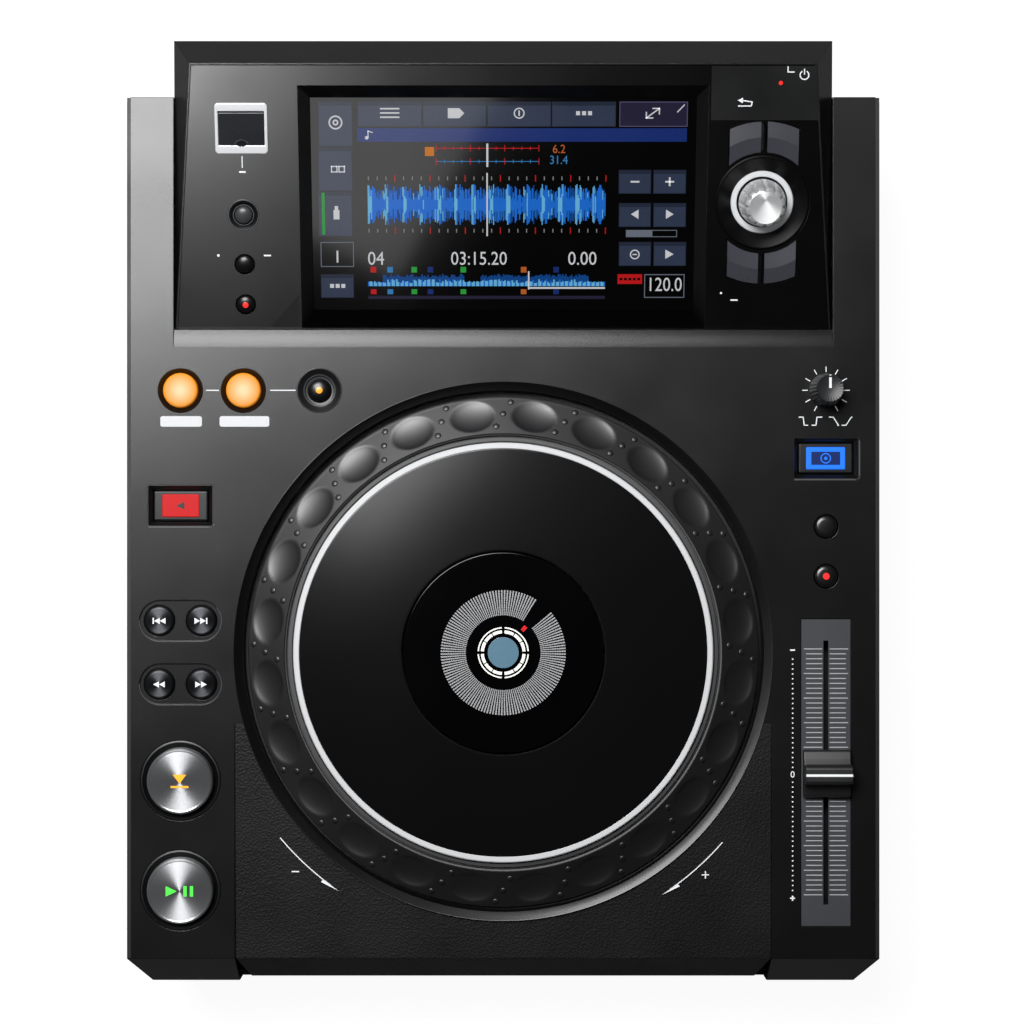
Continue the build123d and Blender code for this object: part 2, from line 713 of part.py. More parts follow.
def slot_length():
    return TEMPO_TRAVEL + LEVER_WIDTH + 2 * SLOT_MARGIN


def tempo_plate():
    top = DECK_Z - TEMPO_PLATE_SINK
    plate = block(COLUMN_X, FADER_Y, TEMPO_PLATE_WIDTH, TEMPO_PLATE_LENGTH, top - TEMPO_PLATE_THICKNESS, top)
    return plate - block(COLUMN_X, FADER_Y, TEMPO_SLOT, slot_length(), top - 5, top + 1)


def tempo_fader():
    """Metal channel of the slide potentiometer, under the deck."""
    length = slot_length() + 4 * FADER_WALL + FADER_WIDTH
    channel = block(COLUMN_X, FADER_Y, FADER_WIDTH, length, DECK_UNDER - FADER_DEPTH, DECK_UNDER)
    inner = FADER_WIDTH - 2 * FADER_WALL
    hollow = block(
        COLUMN_X, FADER_Y, inner, length - 2 * FADER_WALL, DECK_UNDER - FADER_DEPTH + FADER_WALL, DECK_UNDER - FADER_WALL
    )
    mouth = block(COLUMN_X, FADER_Y, 2 * TEMPO_SLOT, slot_length() + 2 * FIT, DECK_UNDER - FADER_DEPTH / 2, DECK_UNDER)
    return channel - hollow - mouth


def tempo_knob():
    """Fader cap with scooped flanks and a centre ridge, on its lever and carriage."""
    half = TEMPO_KNOB_LENGTH / 2
    ridge = TEMPO_RIDGE / 2
    base = TEMPO_KNOB_BASE
    top = TEMPO_KNOB_HEIGHT
    scoop_y = (half + ridge) / 2 - 0.9
    scoop_z = (base + top) / 2 - 1.6
    outline = (
        Polyline((-ridge, top), (ridge, top))
        + ThreePointArc((ridge, top), (scoop_y, scoop_z), (half, base))
        + Polyline((half, base), (half, SLOT_MARGIN), (-half, SLOT_MARGIN), (-half, base))
        + ThreePointArc((-half, base), (-scoop_y, scoop_z), (-ridge, top))
    )
    cap = extrude(Plane.YZ * make_face(outline), TEMPO_KNOB_WIDTH / 2, both=True)
    carriage_z = DECK_UNDER - DECK_Z - FADER_DEPTH + 2 * FADER_WALL
    lever = block(0, 0, LEVER_THICKNESS, LEVER_WIDTH, carriage_z, SLOT_MARGIN + 1)
    carriage = block(0, 0, FADER_WIDTH - 2 * FADER_WALL - 2 * MOVE, LEVER_WIDTH + 4, carriage_z, carriage_z + 3)
    return Pos(COLUMN_X, FADER_Y, DECK_Z) * (cap + lever + carriage)


def speed_knob():
    knob = cone(SPEED_KNOB_RADIUS, SPEED_KNOB_TOP, 0, 0, MOVE, SPEED_KNOB_HEIGHT)
    knob = top_chamfer(knob, CAP_CHAMFER)
    shaft = rod(SPEED_SHAFT, 0, 0, -DECK_BOARD_DEPTH + POT_HEIGHT + SEAT, MOVE)
    return Pos(*SPEED, DECK_Z) * (knob + shaft)


# Boards

def deck_board_posts():
    """Posts that hang from the deck and carry the two button boards."""
    left = -COLUMN_X
    right = COLUMN_X
    spread = COLUMN_WIDTH / 2 - WALL - 2 * BOARD_POST
    front = DECK_FRONT_Y + (PLAY_FROM_FRONT + CUE_FROM_FRONT) / 2
    middle = (REVERSE[1] + TRACK_PREV[1]) / 2
    rear = RAMP_Y - LOOP_FROM_RAMP / 4
    return [
        (left - spread, front),
        (left + spread, front),
        (left, middle),
        (left + LOOP_OUT_OFFSET / 2, rear - LOOP_FROM_RAMP),
        (LOOP_OUT[0] + (RELOOP[0] - LOOP_OUT[0]) / 2, rear - LOOP_FROM_RAMP),
        (right, (SPEED[1] + JOG_MODE[1]) / 2),
        (right, (MASTER_TEMPO[1] + TEMPO_RANGE[1]) / 2),
    ]


def switch(x, y, top):
    return block(x, y, SWITCH_SIDE, SWITCH_SIDE, top, top + SWITCH_HEIGHT)


def deck_button_boards():
    """The boards under the left column and the right column, with their switches and the speed pot."""
    top = DECK_Z - DECK_BOARD_DEPTH
    under = top - BOARD_THICKNESS
    outer = WIDTH / 2 - WALL - FIT
    inner = WELL_RADIUS + WALL + 1
    rear = RAMP_Y - WALL - FIT
    left = box(-outer, -inner, DECK_FRONT_Y + PLAY_FROM_FRONT - CUE_RADIUS, rear, under, top)
    left += box(-outer, RELOOP[0] + LOOP_RECESS, RAMP_Y - 2 * LOOP_FROM_RAMP, rear, under, top)
    right = box(inner, outer, MASTER_TEMPO[1] - LOOP_RECESS, rear, under, top)
    left += [switch(x, y, top) for x, y in DECK_BUTTONS_LEFT]
    right += [switch(x, y, top) for x, y in (MASTER_TEMPO, TEMPO_RANGE, JOG_MODE)]
    right += block(*SPEED, POT_SIDE, POT_SIDE, top, top + POT_HEIGHT)
    clear = Compound([block(x, y, BOSS_SIDE + 2, BOSS_SIDE + 2, under - 1, top + 1) for x, y in BOSSES])
    keep_out = rod(WELL_RADIUS + WALL + 1, 0, JOG_Y, under - 1, top + SWITCH_HEIGHT)
    return Compound([board - clear - keep_out for board in (left, right)])


def display_button_boards():
    """The two boards behind the fascia, beside the screen."""
    top = -FASCIA_BOARD_DEPTH
    under = top - BOARD_THICKNESS
    inner = RECESS_HALF + RECESS_WALL + GLASS_MARGIN
    outer = POCKET_HALF - CREST_INSET - WALL - 2 * FASCIA_RIM
    left = box(-outer, -inner, QUANTIZE_UP - SMALL_RADIUS, USB_UP + USB_FRAME_LENGTH / 2, under, top)
    left -= block(STOP_X, USB_UP, USB_PORT_WIDTH + 1, USB_PORT_HEIGHT + 1, under - 1, top + 1)
    left += [switch(x, up, top) for x, up in FASCIA_BUTTONS]
    reach = SECTOR_OUTER + 1
    right = box(inner, outer, SELECTOR_UP - reach, SELECTOR_UP + reach, under, top)
    right += block(SELECTOR_X, SELECTOR_UP, ENCODER_SIDE, ENCODER_SIDE, top, top + ENCODER_HEIGHT)
    right += [switch(x, up, top) for x, up in sector_places()]
    return FASCIA * Compound([left, right])


def board_posts():
    """Where the lower case carries the main board and the power supply, with each post's top."""
    rear = PANEL_Y - PANEL_THICKNESS - FIT
    posts = []
    for x in (MAIN_BOARD_LEFT + POST_INSET, MAIN_BOARD_RIGHT - POST_INSET):
        for y in (rear - MAIN_BOARD_DEPTH + POST_INSET, rear - LAN_DEPTH - POST_INSET):
            posts.append((x, y, FLOOR_Z + MAIN_BOARD_GAP))
    for x in (SUPPLY_LEFT + POST_INSET, SUPPLY_RIGHT - POST_INSET):
        for y in (rear - SUPPLY_DEPTH - INLET_DEPTH + POST_INSET, rear - INLET_DEPTH - POST_INSET):
            posts.append((x, y, FLOOR_Z + SUPPLY_GAP))
    return posts


def main_board():
    """The main circuit board, its processor under a heat sink, and a power regulator."""
    rear = PANEL_Y - PANEL_THICKNESS - FIT
    low = FLOOR_Z + MAIN_BOARD_GAP
    top = low + BOARD_THICKNESS
    board = box(MAIN_BOARD_LEFT, MAIN_BOARD_RIGHT, rear - MAIN_BOARD_DEPTH, rear, low, top)
    middle = (MAIN_BOARD_LEFT + MAIN_BOARD_RIGHT) / 2
    processor_y = rear - MAIN_BOARD_DEPTH / 2
    lid = top + PROCESSOR_HEIGHT
    board += block(middle, processor_y, PROCESSOR_SIDE, PROCESSOR_SIDE, top, lid)
    pitch = PROCESSOR_SIDE / HEAT_SINK_FINS
    for i in range(HEAT_SINK_FINS):
        x = middle + (i + 0.5) * pitch - PROCESSOR_SIDE / 2
        board += block(x, processor_y, HEAT_SINK_FIN, PROCESSOR_SIDE, lid, lid + HEAT_SINK_HEIGHT)
    x = middle - PROCESSOR_SIDE - REGULATOR_WIDTH / 2
    board += block(x, processor_y, REGULATOR_WIDTH, REGULATOR_LENGTH, top, top + REGULATOR_HEIGHT)
    return board


def power_supply():
    """The supply board behind the mains inlet, with its transformer, capacitor and line filter."""
    rear = PANEL_Y - PANEL_THICKNESS - FIT - INLET_DEPTH
    low = FLOOR_Z + SUPPLY_GAP
    top = low + BOARD_THICKNESS
    middle = (SUPPLY_LEFT + SUPPLY_RIGHT) / 2
    front = rear - SUPPLY_DEPTH
    supply = box(SUPPLY_LEFT, SUPPLY_RIGHT, front, rear, low, top)
    x = middle + TRANSFORMER_OFFSET
    y = front + TRANSFORMER_FROM_FRONT
    supply += block(x, y, TRANSFORMER_WIDTH, TRANSFORMER_LENGTH, top, top + TRANSFORMER_HEIGHT)
    x = middle - CAPACITOR_OFFSET
    supply += rod(CAPACITOR_RADIUS, x, front + CAPACITOR_FROM_FRONT, top, top + CAPACITOR_HEIGHT)
    y = rear - FILTER_FROM_REAR
    supply += block(middle, y, FILTER_WIDTH, FILTER_LENGTH, top, top + FILTER_HEIGHT)
    return supply


# Display housing

def housing_form(inset, bottom):
    """The wedge behind and round the fascia, with every face moved inwards by inset, down to bottom."""
    points = [(FASCIA_Y, bottom), (FASCIA_Y, FASCIA_Z), (CREST_Y, CREST_Z), (REAR_Y, DECK_Z), (REAR_Y, bottom)]
    outline = make_face(Polyline(*points, close=True))
    if inset:
        outline = offset(outline, -inset, kind=Kind.INTERSECTION)
    form = extrude(Plane.YZ * outline, WIDTH, both=True)
    front = Vector(POCKET_HALF - BASE_INSET, FASCIA_Y, FASCIA_Z)
    crest = Vector(POCKET_HALF - CREST_INSET, CREST_Y, CREST_Z)
    rear = Vector(POCKET_HALF - FIT, REAR_Y, DECK_Z)
    normal = (rear - front).cross(crest - front).normalized()
    for mirrored in (1, -1):
        way = Vector(normal.X * mirrored, normal.Y, normal.Z)
        base = Vector(front.X * mirrored, front.Y, front.Z) - way * inset
        form = split(form, Plane(origin=base, z_dir=way), keep=Keep.BOTTOM)
    limit = POCKET_HALF - FIT - inset
    return form & box(-limit, limit, FASCIA_Y - 1, REAR_Y + 1, bottom - 1, CREST_Z + 1)


def fascia_outline(grow):
    """The fascia's trapezoid in its own plane, inside the housing's rim."""
    front = POCKET_HALF - BASE_INSET - FASCIA_RIM + grow
    rear = POCKET_HALF - CREST_INSET - FASCIA_RIM + grow
    length = FASCIA_LENGTH - FASCIA_RIM + grow
    return make_face(Polyline((-front, -grow), (front, -grow), (rear, length), (-rear, length), close=True))


def display_housing():
    bottom = POCKET_Z - SKIRT
    housing = housing_form(0, bottom) - housing_form(WALL, bottom - 2 * WALL)
    housing -= FASCIA * Pos(0, 0, -FASCIA_THICKNESS) * extrude(fascia_outline(FIT / 2), 10)
    housing -= FASCIA * Pos(0, 0, -2 * WALL) * extrude(fascia_outline(FASCIA_RIM - WALL), 2 * WALL)
    inner = POCKET_HALF - 2 * WALL
    housing -= box(-inner, inner, FASCIA_Y - 1, FASCIA_Y + 2 * WALL, bottom - 1, DECK_Z)
    return housing - box(-WIDTH, WIDTH, FASCIA_Y - 1, DECK_REAR_Y + FIT, bottom - 1, POCKET_Z)


def recess_section(depth, grow):
    """The screen recess at a depth below the fascia, as a rectangle in the fascia's frame."""
    share = depth / RECESS_DEPTH
    half = RECESS_HALF - RECESS_SIDE_RUN * share + grow
    front = RECESS_START + RECESS_FRONT_RUN * share - grow
    rear = RECESS_LENGTH - RECESS_REAR_RUN * share + grow
    return Pos(0, (front + rear) / 2, -depth) * Rectangle(2 * half, rear - front)


def display_fascia():
    """The tilted face: a plate with the screen's bevelled recess and every control's opening."""
    floor = -RECESS_DEPTH - RECESS_WALL
    half = RECESS_HALF
    fascia = Pos(0, 0, -FASCIA_THICKNESS) * extrude(fascia_outline(0), FASCIA_THICKNESS)
    fascia += box(
        -half - RECESS_WALL, half + RECESS_WALL, RECESS_START + 2.4, RECESS_LENGTH + RECESS_WALL, -RECESS_DEPTH, -1
    )
    fascia += Pos(SELECTOR_X, SELECTOR_UP) * selector_ribs()
    recess = loft([recess_section(0, 0), recess_section(RECESS_DEPTH, 0)])
    fascia -= recess
    for x, up in FASCIA_BUTTONS[1:]:
        fascia -= rod(SMALL_RADIUS + MOVE, x, up, floor, 2)
    fascia -= rod(STOP_RADIUS + MOVE, STOP_X, STOP_UP, floor, 2)
    fascia -= cone(STOP_RADIUS + MOVE, STOP_RECESS, STOP_X, STOP_UP, -RECESS_SINK, 0)
    frame_width = USB_WINDOW_WIDTH + 2 * (USB_FRAME_WALL + FIT)
    frame_length = USB_WINDOW_LENGTH + 2 * (USB_FRAME_WALL + FIT)
    fascia -= block(STOP_X, USB_UP, frame_width, frame_length, floor, 2)
    fascia -= rod(DISH_RADIUS + FIT / 2, SELECTOR_X, SELECTOR_UP, floor, 2)
    cuts = [sector(*signs, MOVE, -FASCIA_THICKNESS - 1, 2) for signs in SECTOR_SIGNS]
    fascia -= Pos(SELECTOR_X, SELECTOR_UP) * Compound(cuts)
    return FASCIA * fascia


def touch_panel():
    top = -RECESS_DEPTH
    half = RECESS_HALF - RECESS_SIDE_RUN + GLASS_MARGIN
    front = RECESS_START + RECESS_FRONT_RUN - GLASS_MARGIN
    rear = RECESS_LENGTH - RECESS_REAR_RUN + GLASS_MARGIN
    return FASCIA * box(-half, half, front, rear, top - GLASS_THICKNESS, top)


def lcd_module():
    top = -RECESS_DEPTH - GLASS_THICKNESS
    half = RECESS_HALF
    front = RECESS_START + RECESS_FRONT_RUN - GLASS_MARGIN - 1
    rear = RECESS_LENGTH
    return FASCIA * box(-half, half, front, rear, top - LCD_THICKNESS, top)


def usb_frame():
    """Bright surround of the memory-stick door, with a lining through the fascia."""
    flange = block(0, 0, USB_FRAME_WIDTH, USB_FRAME_LENGTH, 0, USB_FRAME_RISE)
    flange = top_chamfer(flange, USB_FRAME_RISE / 2)
    width = USB_WINDOW_WIDTH + 2 * USB_FRAME_WALL
    length = USB_WINDOW_LENGTH + 2 * USB_FRAME_WALL
    flange += block(0, 0, width, length, -FASCIA_THICKNESS, 0)
    window = block(0, 0, USB_WINDOW_WIDTH, USB_WINDOW_LENGTH, -FASCIA_THICKNESS - 1, USB_FRAME_RISE + 1)
    return FASCIA * Pos(STOP_X, USB_UP) * (flange - window)


def usb_cover():
    """Door over the port, with a rolled hinge edge at the rear."""
    length = USB_WINDOW_LENGTH - 2 * MOVE
    width = USB_WINDOW_WIDTH - 2 * MOVE
    axis_y = length / 2 - USB_HINGE_RADIUS
    low = USB_FRAME_RISE - USB_HINGE_RADIUS - USB_COVER_THICKNESS / 2
    cover = box(-width / 2, width / 2, -length / 2, axis_y, low, low + USB_COVER_THICKNESS)
    barrel = Rot(0, 90, 0) * Cylinder(USB_HINGE_RADIUS, width)
    cover += Pos(0, axis_y, low + USB_COVER_THICKNESS / 2) * barrel
    cover -= Pos(0, -length / 2, low + USB_COVER_THICKNESS) * Sphere(1.9)
    return FASCIA * Pos(STOP_X, USB_UP) * cover


def usb_socket():
    """Memory-stick port under the door: a metal shell with its contact tongue."""
    low = -USB_PORT_SINK - USB_PORT_DEPTH
    shell = block(0, 0, USB_PORT_WIDTH, USB_PORT_HEIGHT, low, -USB_PORT_SINK)
    inner_width = USB_PORT_WIDTH - 2 * USB_SHELL
    inner_height = USB_PORT_HEIGHT - 2 * USB_SHELL
    shell -= block(0, 0, inner_width, inner_height, low + 2, 0)
    tongue_y = inner_height / 2 - USB_TONGUE / 2
    shell += block(0, tongue_y, inner_width, USB_TONGUE, low + 1, -USB_PORT_SINK - 1)
    lip = block(0, 0, USB_WINDOW_WIDTH, USB_WINDOW_LENGTH, -USB_PORT_SINK - 1, -USB_PORT_SINK)
    lip -= block(0, 0, USB_PORT_WIDTH, USB_PORT_HEIGHT, -USB_PORT_SINK - 2, 0)
    seat = block(0, 0, USB_WINDOW_WIDTH, USB_WINDOW_LENGTH, -USB_PORT_SINK, -FASCIA_THICKNESS)
    seat -= block(0, 0, USB_WINDOW_WIDTH - 2, USB_WINDOW_LENGTH - 2, -USB_PORT_SINK - 1, 0)
    return FASCIA * Pos(STOP_X, USB_UP) * (shell + lip + seat)


# Selector

SECTOR_SIGNS = ((-1, 1), (1, 1), (-1, -1), (1, -1))


def sector(side, way, grow, z0, z1):
    """One of the four keys' outlines round the selector, as a block between two heights."""
    arc = ring(SECTOR_OUTER + grow, SECTOR_INNER - grow, z0, z1)
    x0 = SECTOR_GAP - grow
    x1 = SECTOR_HALF + grow
    window = box(min(side * x0, side * x1), max(side * x0, side * x1), *sorted((0, way * 60)), z0 - 1, z1 + 1)
    return arc & window


def sector_places():
    """Middle of each key, for its stem and switch."""
    middle = sqrt(((SECTOR_INNER + SECTOR_OUTER) / 2) ** 2 - SECTOR_MIDDLE**2)
    return [(SELECTOR_X + side * SECTOR_MIDDLE, SELECTOR_UP + way * middle) for side, way in SECTOR_SIGNS]


def sector_key(index):
    """Roof-shaped key beside the selector, with its flange and stem."""
    side, way = SECTOR_SIGNS[index]
    seat = -FASCIA_THICKNESS - SEAT
    middle = (SECTOR_INNER + SECTOR_OUTER) / 2
    roof = turned(
        [
            (SECTOR_INNER, seat),
            (SECTOR_OUTER, seat),
            (SECTOR_OUTER, SECTOR_HEIGHT),
            (middle, SECTOR_HEIGHT + SECTOR_RIDGE),
            (SECTOR_INNER, SECTOR_HEIGHT),
        ]
    )
    key = roof & sector(side, way, 0, seat - 1, 10)
    x, up = sector_places()[index]
    middle_x = x - SELECTOR_X
    middle_y = up - SELECTOR_UP
    reach = sqrt(SECTOR_OUTER**2 - SECTOR_MIDDLE**2) - abs(middle_y) + LUG
    lug_y = middle_y + way * reach / 2
    key += block(middle_x, lug_y, LUG_WIDTH, reach, seat - LUG_THICKNESS, seat)
    side_reach = SECTOR_HALF - SECTOR_MIDDLE + LUG
    lug_x = middle_x + side * side_reach / 2
    key += block(lug_x, middle_y, side_reach, LUG_WIDTH, seat - LUG_THICKNESS, seat)
    key += stem(middle_x, middle_y, FASCIA_BOARD_DEPTH, SHORT_TRAVEL, seat)
    return FASCIA * Pos(SELECTOR_X, SELECTOR_UP) * key


def selector_ribs():
    """The fine ribs that part the keys of a pair."""
    bar = box(-RIB_WIDTH / 2, RIB_WIDTH / 2, SECTOR_INNER + 1, SECTOR_OUTER - 1, -1, SECTOR_HEIGHT)
    return bar + Rot(0, 0, 180) * bar


def selector_dish():
    floor = -DISH_DEPTH - HALO_THICKNESS
    rim = HALO_RADIUS + RUNNING
    hole = HALO_RADIUS - HALO_WIDTH - FIT
    outline = [
        (hole, floor - DISH_THICKNESS / 2),
        (DISH_RADIUS, floor - DISH_THICKNESS / 2),
        (DISH_RADIUS, FIT),
        (rim, -DISH_DEPTH),
        (rim, floor),
        (hole, floor),
    ]
    return FASCIA * Pos(SELECTOR_X, SELECTOR_UP) * turned(outline)


def selector_halo():
    halo = ring(HALO_RADIUS, HALO_RADIUS - HALO_WIDTH, -DISH_DEPTH - HALO_THICKNESS, -DISH_DEPTH)
    return FASCIA * Pos(SELECTOR_X, SELECTOR_UP) * halo


def encoder_plunger():
    low = -FASCIA_BOARD_DEPTH + ENCODER_HEIGHT + SHORT_TRAVEL + SEAT
    shaft = rod(SHAFT_RADIUS, 0, 0, low, KNOB_HEIGHT - 2 * KNOB_CLEAR)
    return FASCIA * Pos(SELECTOR_X, SELECTOR_UP) * shaft


def selector_knob():
    """Tapered metal knob, dished on top, turning on the encoder's shaft."""
    bore = SHAFT_RADIUS + RUNNING
    low = -DISH_DEPTH + KNOB_CLEAR
    shaft_top = KNOB_HEIGHT - 2 * KNOB_CLEAR + RUNNING
    outline = [
        (bore, low),
        (KNOB_RADIUS, low),
        (KNOB_TOP_RADIUS, KNOB_HEIGHT),
        (0, KNOB_HEIGHT - KNOB_DISH),
        (0, shaft_top),
        (bore, shaft_top),
    ]
    return FASCIA * Pos(SELECTOR_X, SELECTOR_UP) * turned(outline)


def fascia_button(place, radius):
    button = round_button(radius, SMALL_HEIGHT, FASCIA_THICKNESS, FASCIA_BOARD_DEPTH, SHORT_TRAVEL, DOME_BEVEL)
    return FASCIA * Pos(*place) * button


# Jog wheel

def at_jog(shape):
    return Pos(0, JOG_Y, 0) * shape


def jog_well_ring():
    """Glossy ring that lines the well, with a lip on the deck."""
    body = WELL_RADIUS - WELL_LIP
    mouth = body - WELL_LIP / 2
    foot = mouth - WELL_TAPER
    outline = [
        (foot, WELL_FLOOR_Z),
        (body, WELL_FLOOR_Z),
        (body, DECK_Z),
        (WELL_RADIUS, DECK_Z),
        (WELL_RADIUS, DECK_Z + WELL_LIP / 2),
        (mouth, DECK_Z + WELL_LIP / 2),
        (foot, WELL_FLOOR_Z + 2),
    ]
    return at_jog(turned(outline))


def post_top():
    return DECK_Z + PLATE_RISE - DISPLAY_SINK - DISPLAY_THICKNESS


def jog_base():
    """Pan under the jog wheel, with the hollow post that carries the bearing and the display."""
    body = WELL_RADIUS - WELL_LIP
    pan = body + FIT + WALL
    under = WELL_FLOOR_Z - WELL_FLOOR
    outline = [
        (POST_BORE, under),
        (pan, under),
        (pan, DECK_UNDER),
        (body + FIT, DECK_UNDER),
        (body + FIT, WELL_FLOOR_Z),
        (BEARING_BORE + BEARING_RACE / 2, WELL_FLOOR_Z),
        (BEARING_BORE + BEARING_RACE / 2, WELL_FLOOR_Z + BEARING_SHOULDER),
        (BEARING_BORE, WELL_FLOOR_Z + BEARING_SHOULDER),
        (BEARING_BORE, post_top()),
        (POST_BORE, post_top()),
    ]
    base = at_jog(turned(outline))
    apron_under = DECK_Z - APRON_SINK - APRON_THICKNESS - FIT
    clear = APRON_HALF + 2 * FIT
    return base - box(-clear, clear, FRONT_Y, DECK_FRONT_Y + APRON_FADE + FIT, apron_under - 1, DECK_Z)


def bearing_span():
    low = WELL_FLOOR_Z + BEARING_SHOULDER
    return low, low + BEARING_WIDTH


def jog_bearing():
    return at_jog(ring(BEARING_BORE + BEARING_RACE, BEARING_BORE, *bearing_span()))


def bearing_race():
    return at_jog(ring(BEARING_OUTER, BEARING_BORE + BEARING_RACE + RUNNING, *bearing_span()))


def encoder_disc():
    """Slotted disc that turns with the dial between the halves of its sensor."""
    low = WELL_FLOOR_Z + ENCODER_RISE
    bore = BEARING_OUTER + HUB_WALL
    disc = ring(ENCODER_RADIUS, bore, low, low + ENCODER_THICKNESS)
    middle = ENCODER_RADIUS - ENCODER_SLOT_LENGTH / 2 - 1.5
    slot = block(middle, 0, ENCODER_SLOT_LENGTH, ENCODER_SLOT_WIDTH, low - 1, low + ENCODER_THICKNESS + 1)
    slots = [Rot(0, 0, i * 360 / ENCODER_SLOTS) * slot for i in range(ENCODER_SLOTS)]
    return at_jog(disc - slots)


def encoder_sensor():
    reach = ENCODER_RADIUS + 4
    body = box(
        ENCODER_RADIUS - 8, reach, -SENSOR_WIDTH / 2, SENSOR_WIDTH / 2, WELL_FLOOR_Z, WELL_FLOOR_Z + SENSOR_HEIGHT
    )
    middle = WELL_FLOOR_Z + ENCODER_RISE + ENCODER_THICKNESS / 2
    slot = box(0, ENCODER_RADIUS + 1, -SENSOR_WIDTH, SENSOR_WIDTH, middle - SENSOR_SLOT / 2, middle + SENSOR_SLOT / 2)
    return at_jog(Rot(0, 0, -60) * (body - slot))


def face_slope():
    """Fall of the dial's face, in degrees."""
    return degrees(asin((DIAL_RISE - DIAL_EDGE_RISE) / sqrt(DIAL_FACE**2 + (DIAL_RISE - DIAL_EDGE_RISE) ** 2)))


def dimple_cutter():
    """Roller that scoops a finger dimple, with the dial's face at z = 0 and X along the radius."""
    radius = ((DIMPLE_WIDTH / 2) ** 2 + DIMPLE_DEPTH**2) / (2 * DIMPLE_DEPTH)
    return Pos(0, 0, radius - DIMPLE_DEPTH) * Rot(90, 0, 0) * Cylinder(radius, DIMPLE_LENGTH)


def jog_dial():
    """The turning ring: hub and web below, dimpled face outside and the groove round the top plate."""
    inner = DIAL_RADIUS - DIAL_FACE
    rim_z = DECK_Z + DIAL_RISE
    edge_z = DECK_Z + DIAL_EDGE_RISE
    groove = inner - RIM_GROOVE
    hub = BEARING_OUTER + HUB_WALL
    low, high = bearing_span()
    web_z = high
    web_top = web_z + WEB_THICKNESS
    slope = tan(radians(face_slope()))
    under = DIAL_WALL / cos(radians(face_slope()))
    skirt = DIAL_RADIUS - DIAL_WALL
    shoulder = DIAL_RADIUS - 1.7 * DIAL_WALL
    shoulder_z = edge_z + slope * (DIAL_RADIUS - shoulder) - under
    outline = [
        (BEARING_OUTER, low + FIT),
        (hub, low + FIT),
        (hub, web_z),
        (skirt, web_z),
        (skirt, DECK_Z - DIAL_SKIRT),
        (DIAL_RADIUS, DECK_Z - DIAL_SKIRT),
        (DIAL_RADIUS, edge_z),
        (inner, rim_z),
        (inner, rim_z - RIM_GROOVE_DEPTH),
        (groove, rim_z - RIM_GROOVE_DEPTH),
        (groove, rim_z - under),
        (shoulder, shoulder_z),
        (shoulder, web_top),
        (BEARING_OUTER, web_top),
    ]
    middle = DIAL_RADIUS - DIAL_FACE / 2
    place = Pos(middle, 0, (rim_z + edge_z) / 2) * Rot(0, face_slope(), 0)
    cutter = dimple_cutter()
    step = 360 / DIMPLES
    scoops = [Rot(0, 0, DIMPLE_START + i * step) * place * cutter for i in range(DIMPLES)]
    return at_jog(turned(outline) - scoops)


def plate_radius():
    """Outer edge of the top plate's flange, inside the dial's groove."""
    return DIAL_RADIUS - DIAL_FACE - RIM_GROOVE - PLATE_GAP


def jog_top_plate():
    """Flat plate that is pressed to stop the sound, with three guide posts underneath."""
    top = DECK_Z + PLATE_RISE
    under = top - PLATE_THICKNESS
    flange = under - PLATE_FLANGE
    outer = plate_radius()
    step = outer - ACCENT_WIDTH
    hole = DISPLAY_RADIUS + DISPLAY_GAP
    web_top = bearing_span()[1] + WEB_THICKNESS
    guide = web_top + PLATE_TRAVEL + SEAT
    outline = [
        (hole, flange),
        (outer, flange),
        (outer, under),
        (step, under),
        (step, top),
        (hole, top),
    ]
    post = block(hole + GUIDE_SIDE, 0, GUIDE_SIDE, GUIDE_SIDE, guide, under)
    return at_jog(turned(outline) + [Rot(0, 0, 30 + 120 * i) * post for i in range(3)])


def jog_accent_ring():
    top = DECK_Z + PLATE_RISE
    outer = plate_radius()
    return at_jog(ring(outer, outer - ACCENT_WIDTH + RUNNING, top - PLATE_THICKNESS, top))


def center_display():
    """Round display on the fixed post, with its cable spigot in the bore."""
    low = post_top()
    display = top_chamfer(rod(DISPLAY_RADIUS, 0, 0, low, low + DISPLAY_THICKNESS), CAP_CHAMFER)
    return at_jog(display + rod(POST_BORE - FIT, 0, 0, low - SPIGOT_LENGTH, low))


# Rear connectors

def rear_socket(x, width, z0, z1, depth, proud=0.0):
    """Block that stands in the rear panel; y = 0 is the panel's outer face."""
    return box(x - width / 2, x + width / 2, PANEL_Y - depth, PANEL_Y + proud, SOCKET_Z + z0, SOCKET_Z + z1)


def centred(x, width, height, depth, proud=0.0):
    return rear_socket(x, width, -height / 2, height / 2, depth, proud)


def rear_panel():
    """Steel sheet behind the case's window, cut for every connector."""
    bottom = PANEL_BOTTOM - PANEL_LAP
    top = PANEL_TOP + PANEL_LAP
    half = PANEL_HALF + PANEL_LAP
    panel = box(-half, half, PANEL_Y - PANEL_THICKNESS, PANEL_Y, bottom, top)
    deep = PANEL_THICKNESS + 1
    panel -= centred(INLET_X, INLET_WIDTH + 2 * FIT, INLET_HEIGHT + 2 * FIT, deep, 1)
    panel -= centred(POWER_X, POWER_WIDTH + 2 * MOVE, POWER_HEIGHT + 2 * MOVE, deep, 1)
    panel -= centred(LAN_X, LAN_WIDTH + 2 * FIT, LAN_HEIGHT + 2 * FIT, deep, 1)
    panel -= centred(USBB_X, USBB_WIDTH + 2 * FIT, USBB_HEIGHT + 2 * FIT, deep, 1)
    for x in JACKS_X:
        panel -= rear_rod(JACK_COLLAR + FIT, x, -deep, 1)
    return panel


def rear_rod(radius, x, y0, y1):
    """Cylinder along Y through the rear panel, from y0 to y1 about its outer face."""
    middle = PANEL_Y + (y0 + y1) / 2
    return Pos(x, middle, SOCKET_Z) * Rot(90, 0, 0) * Cylinder(radius, y1 - y0)


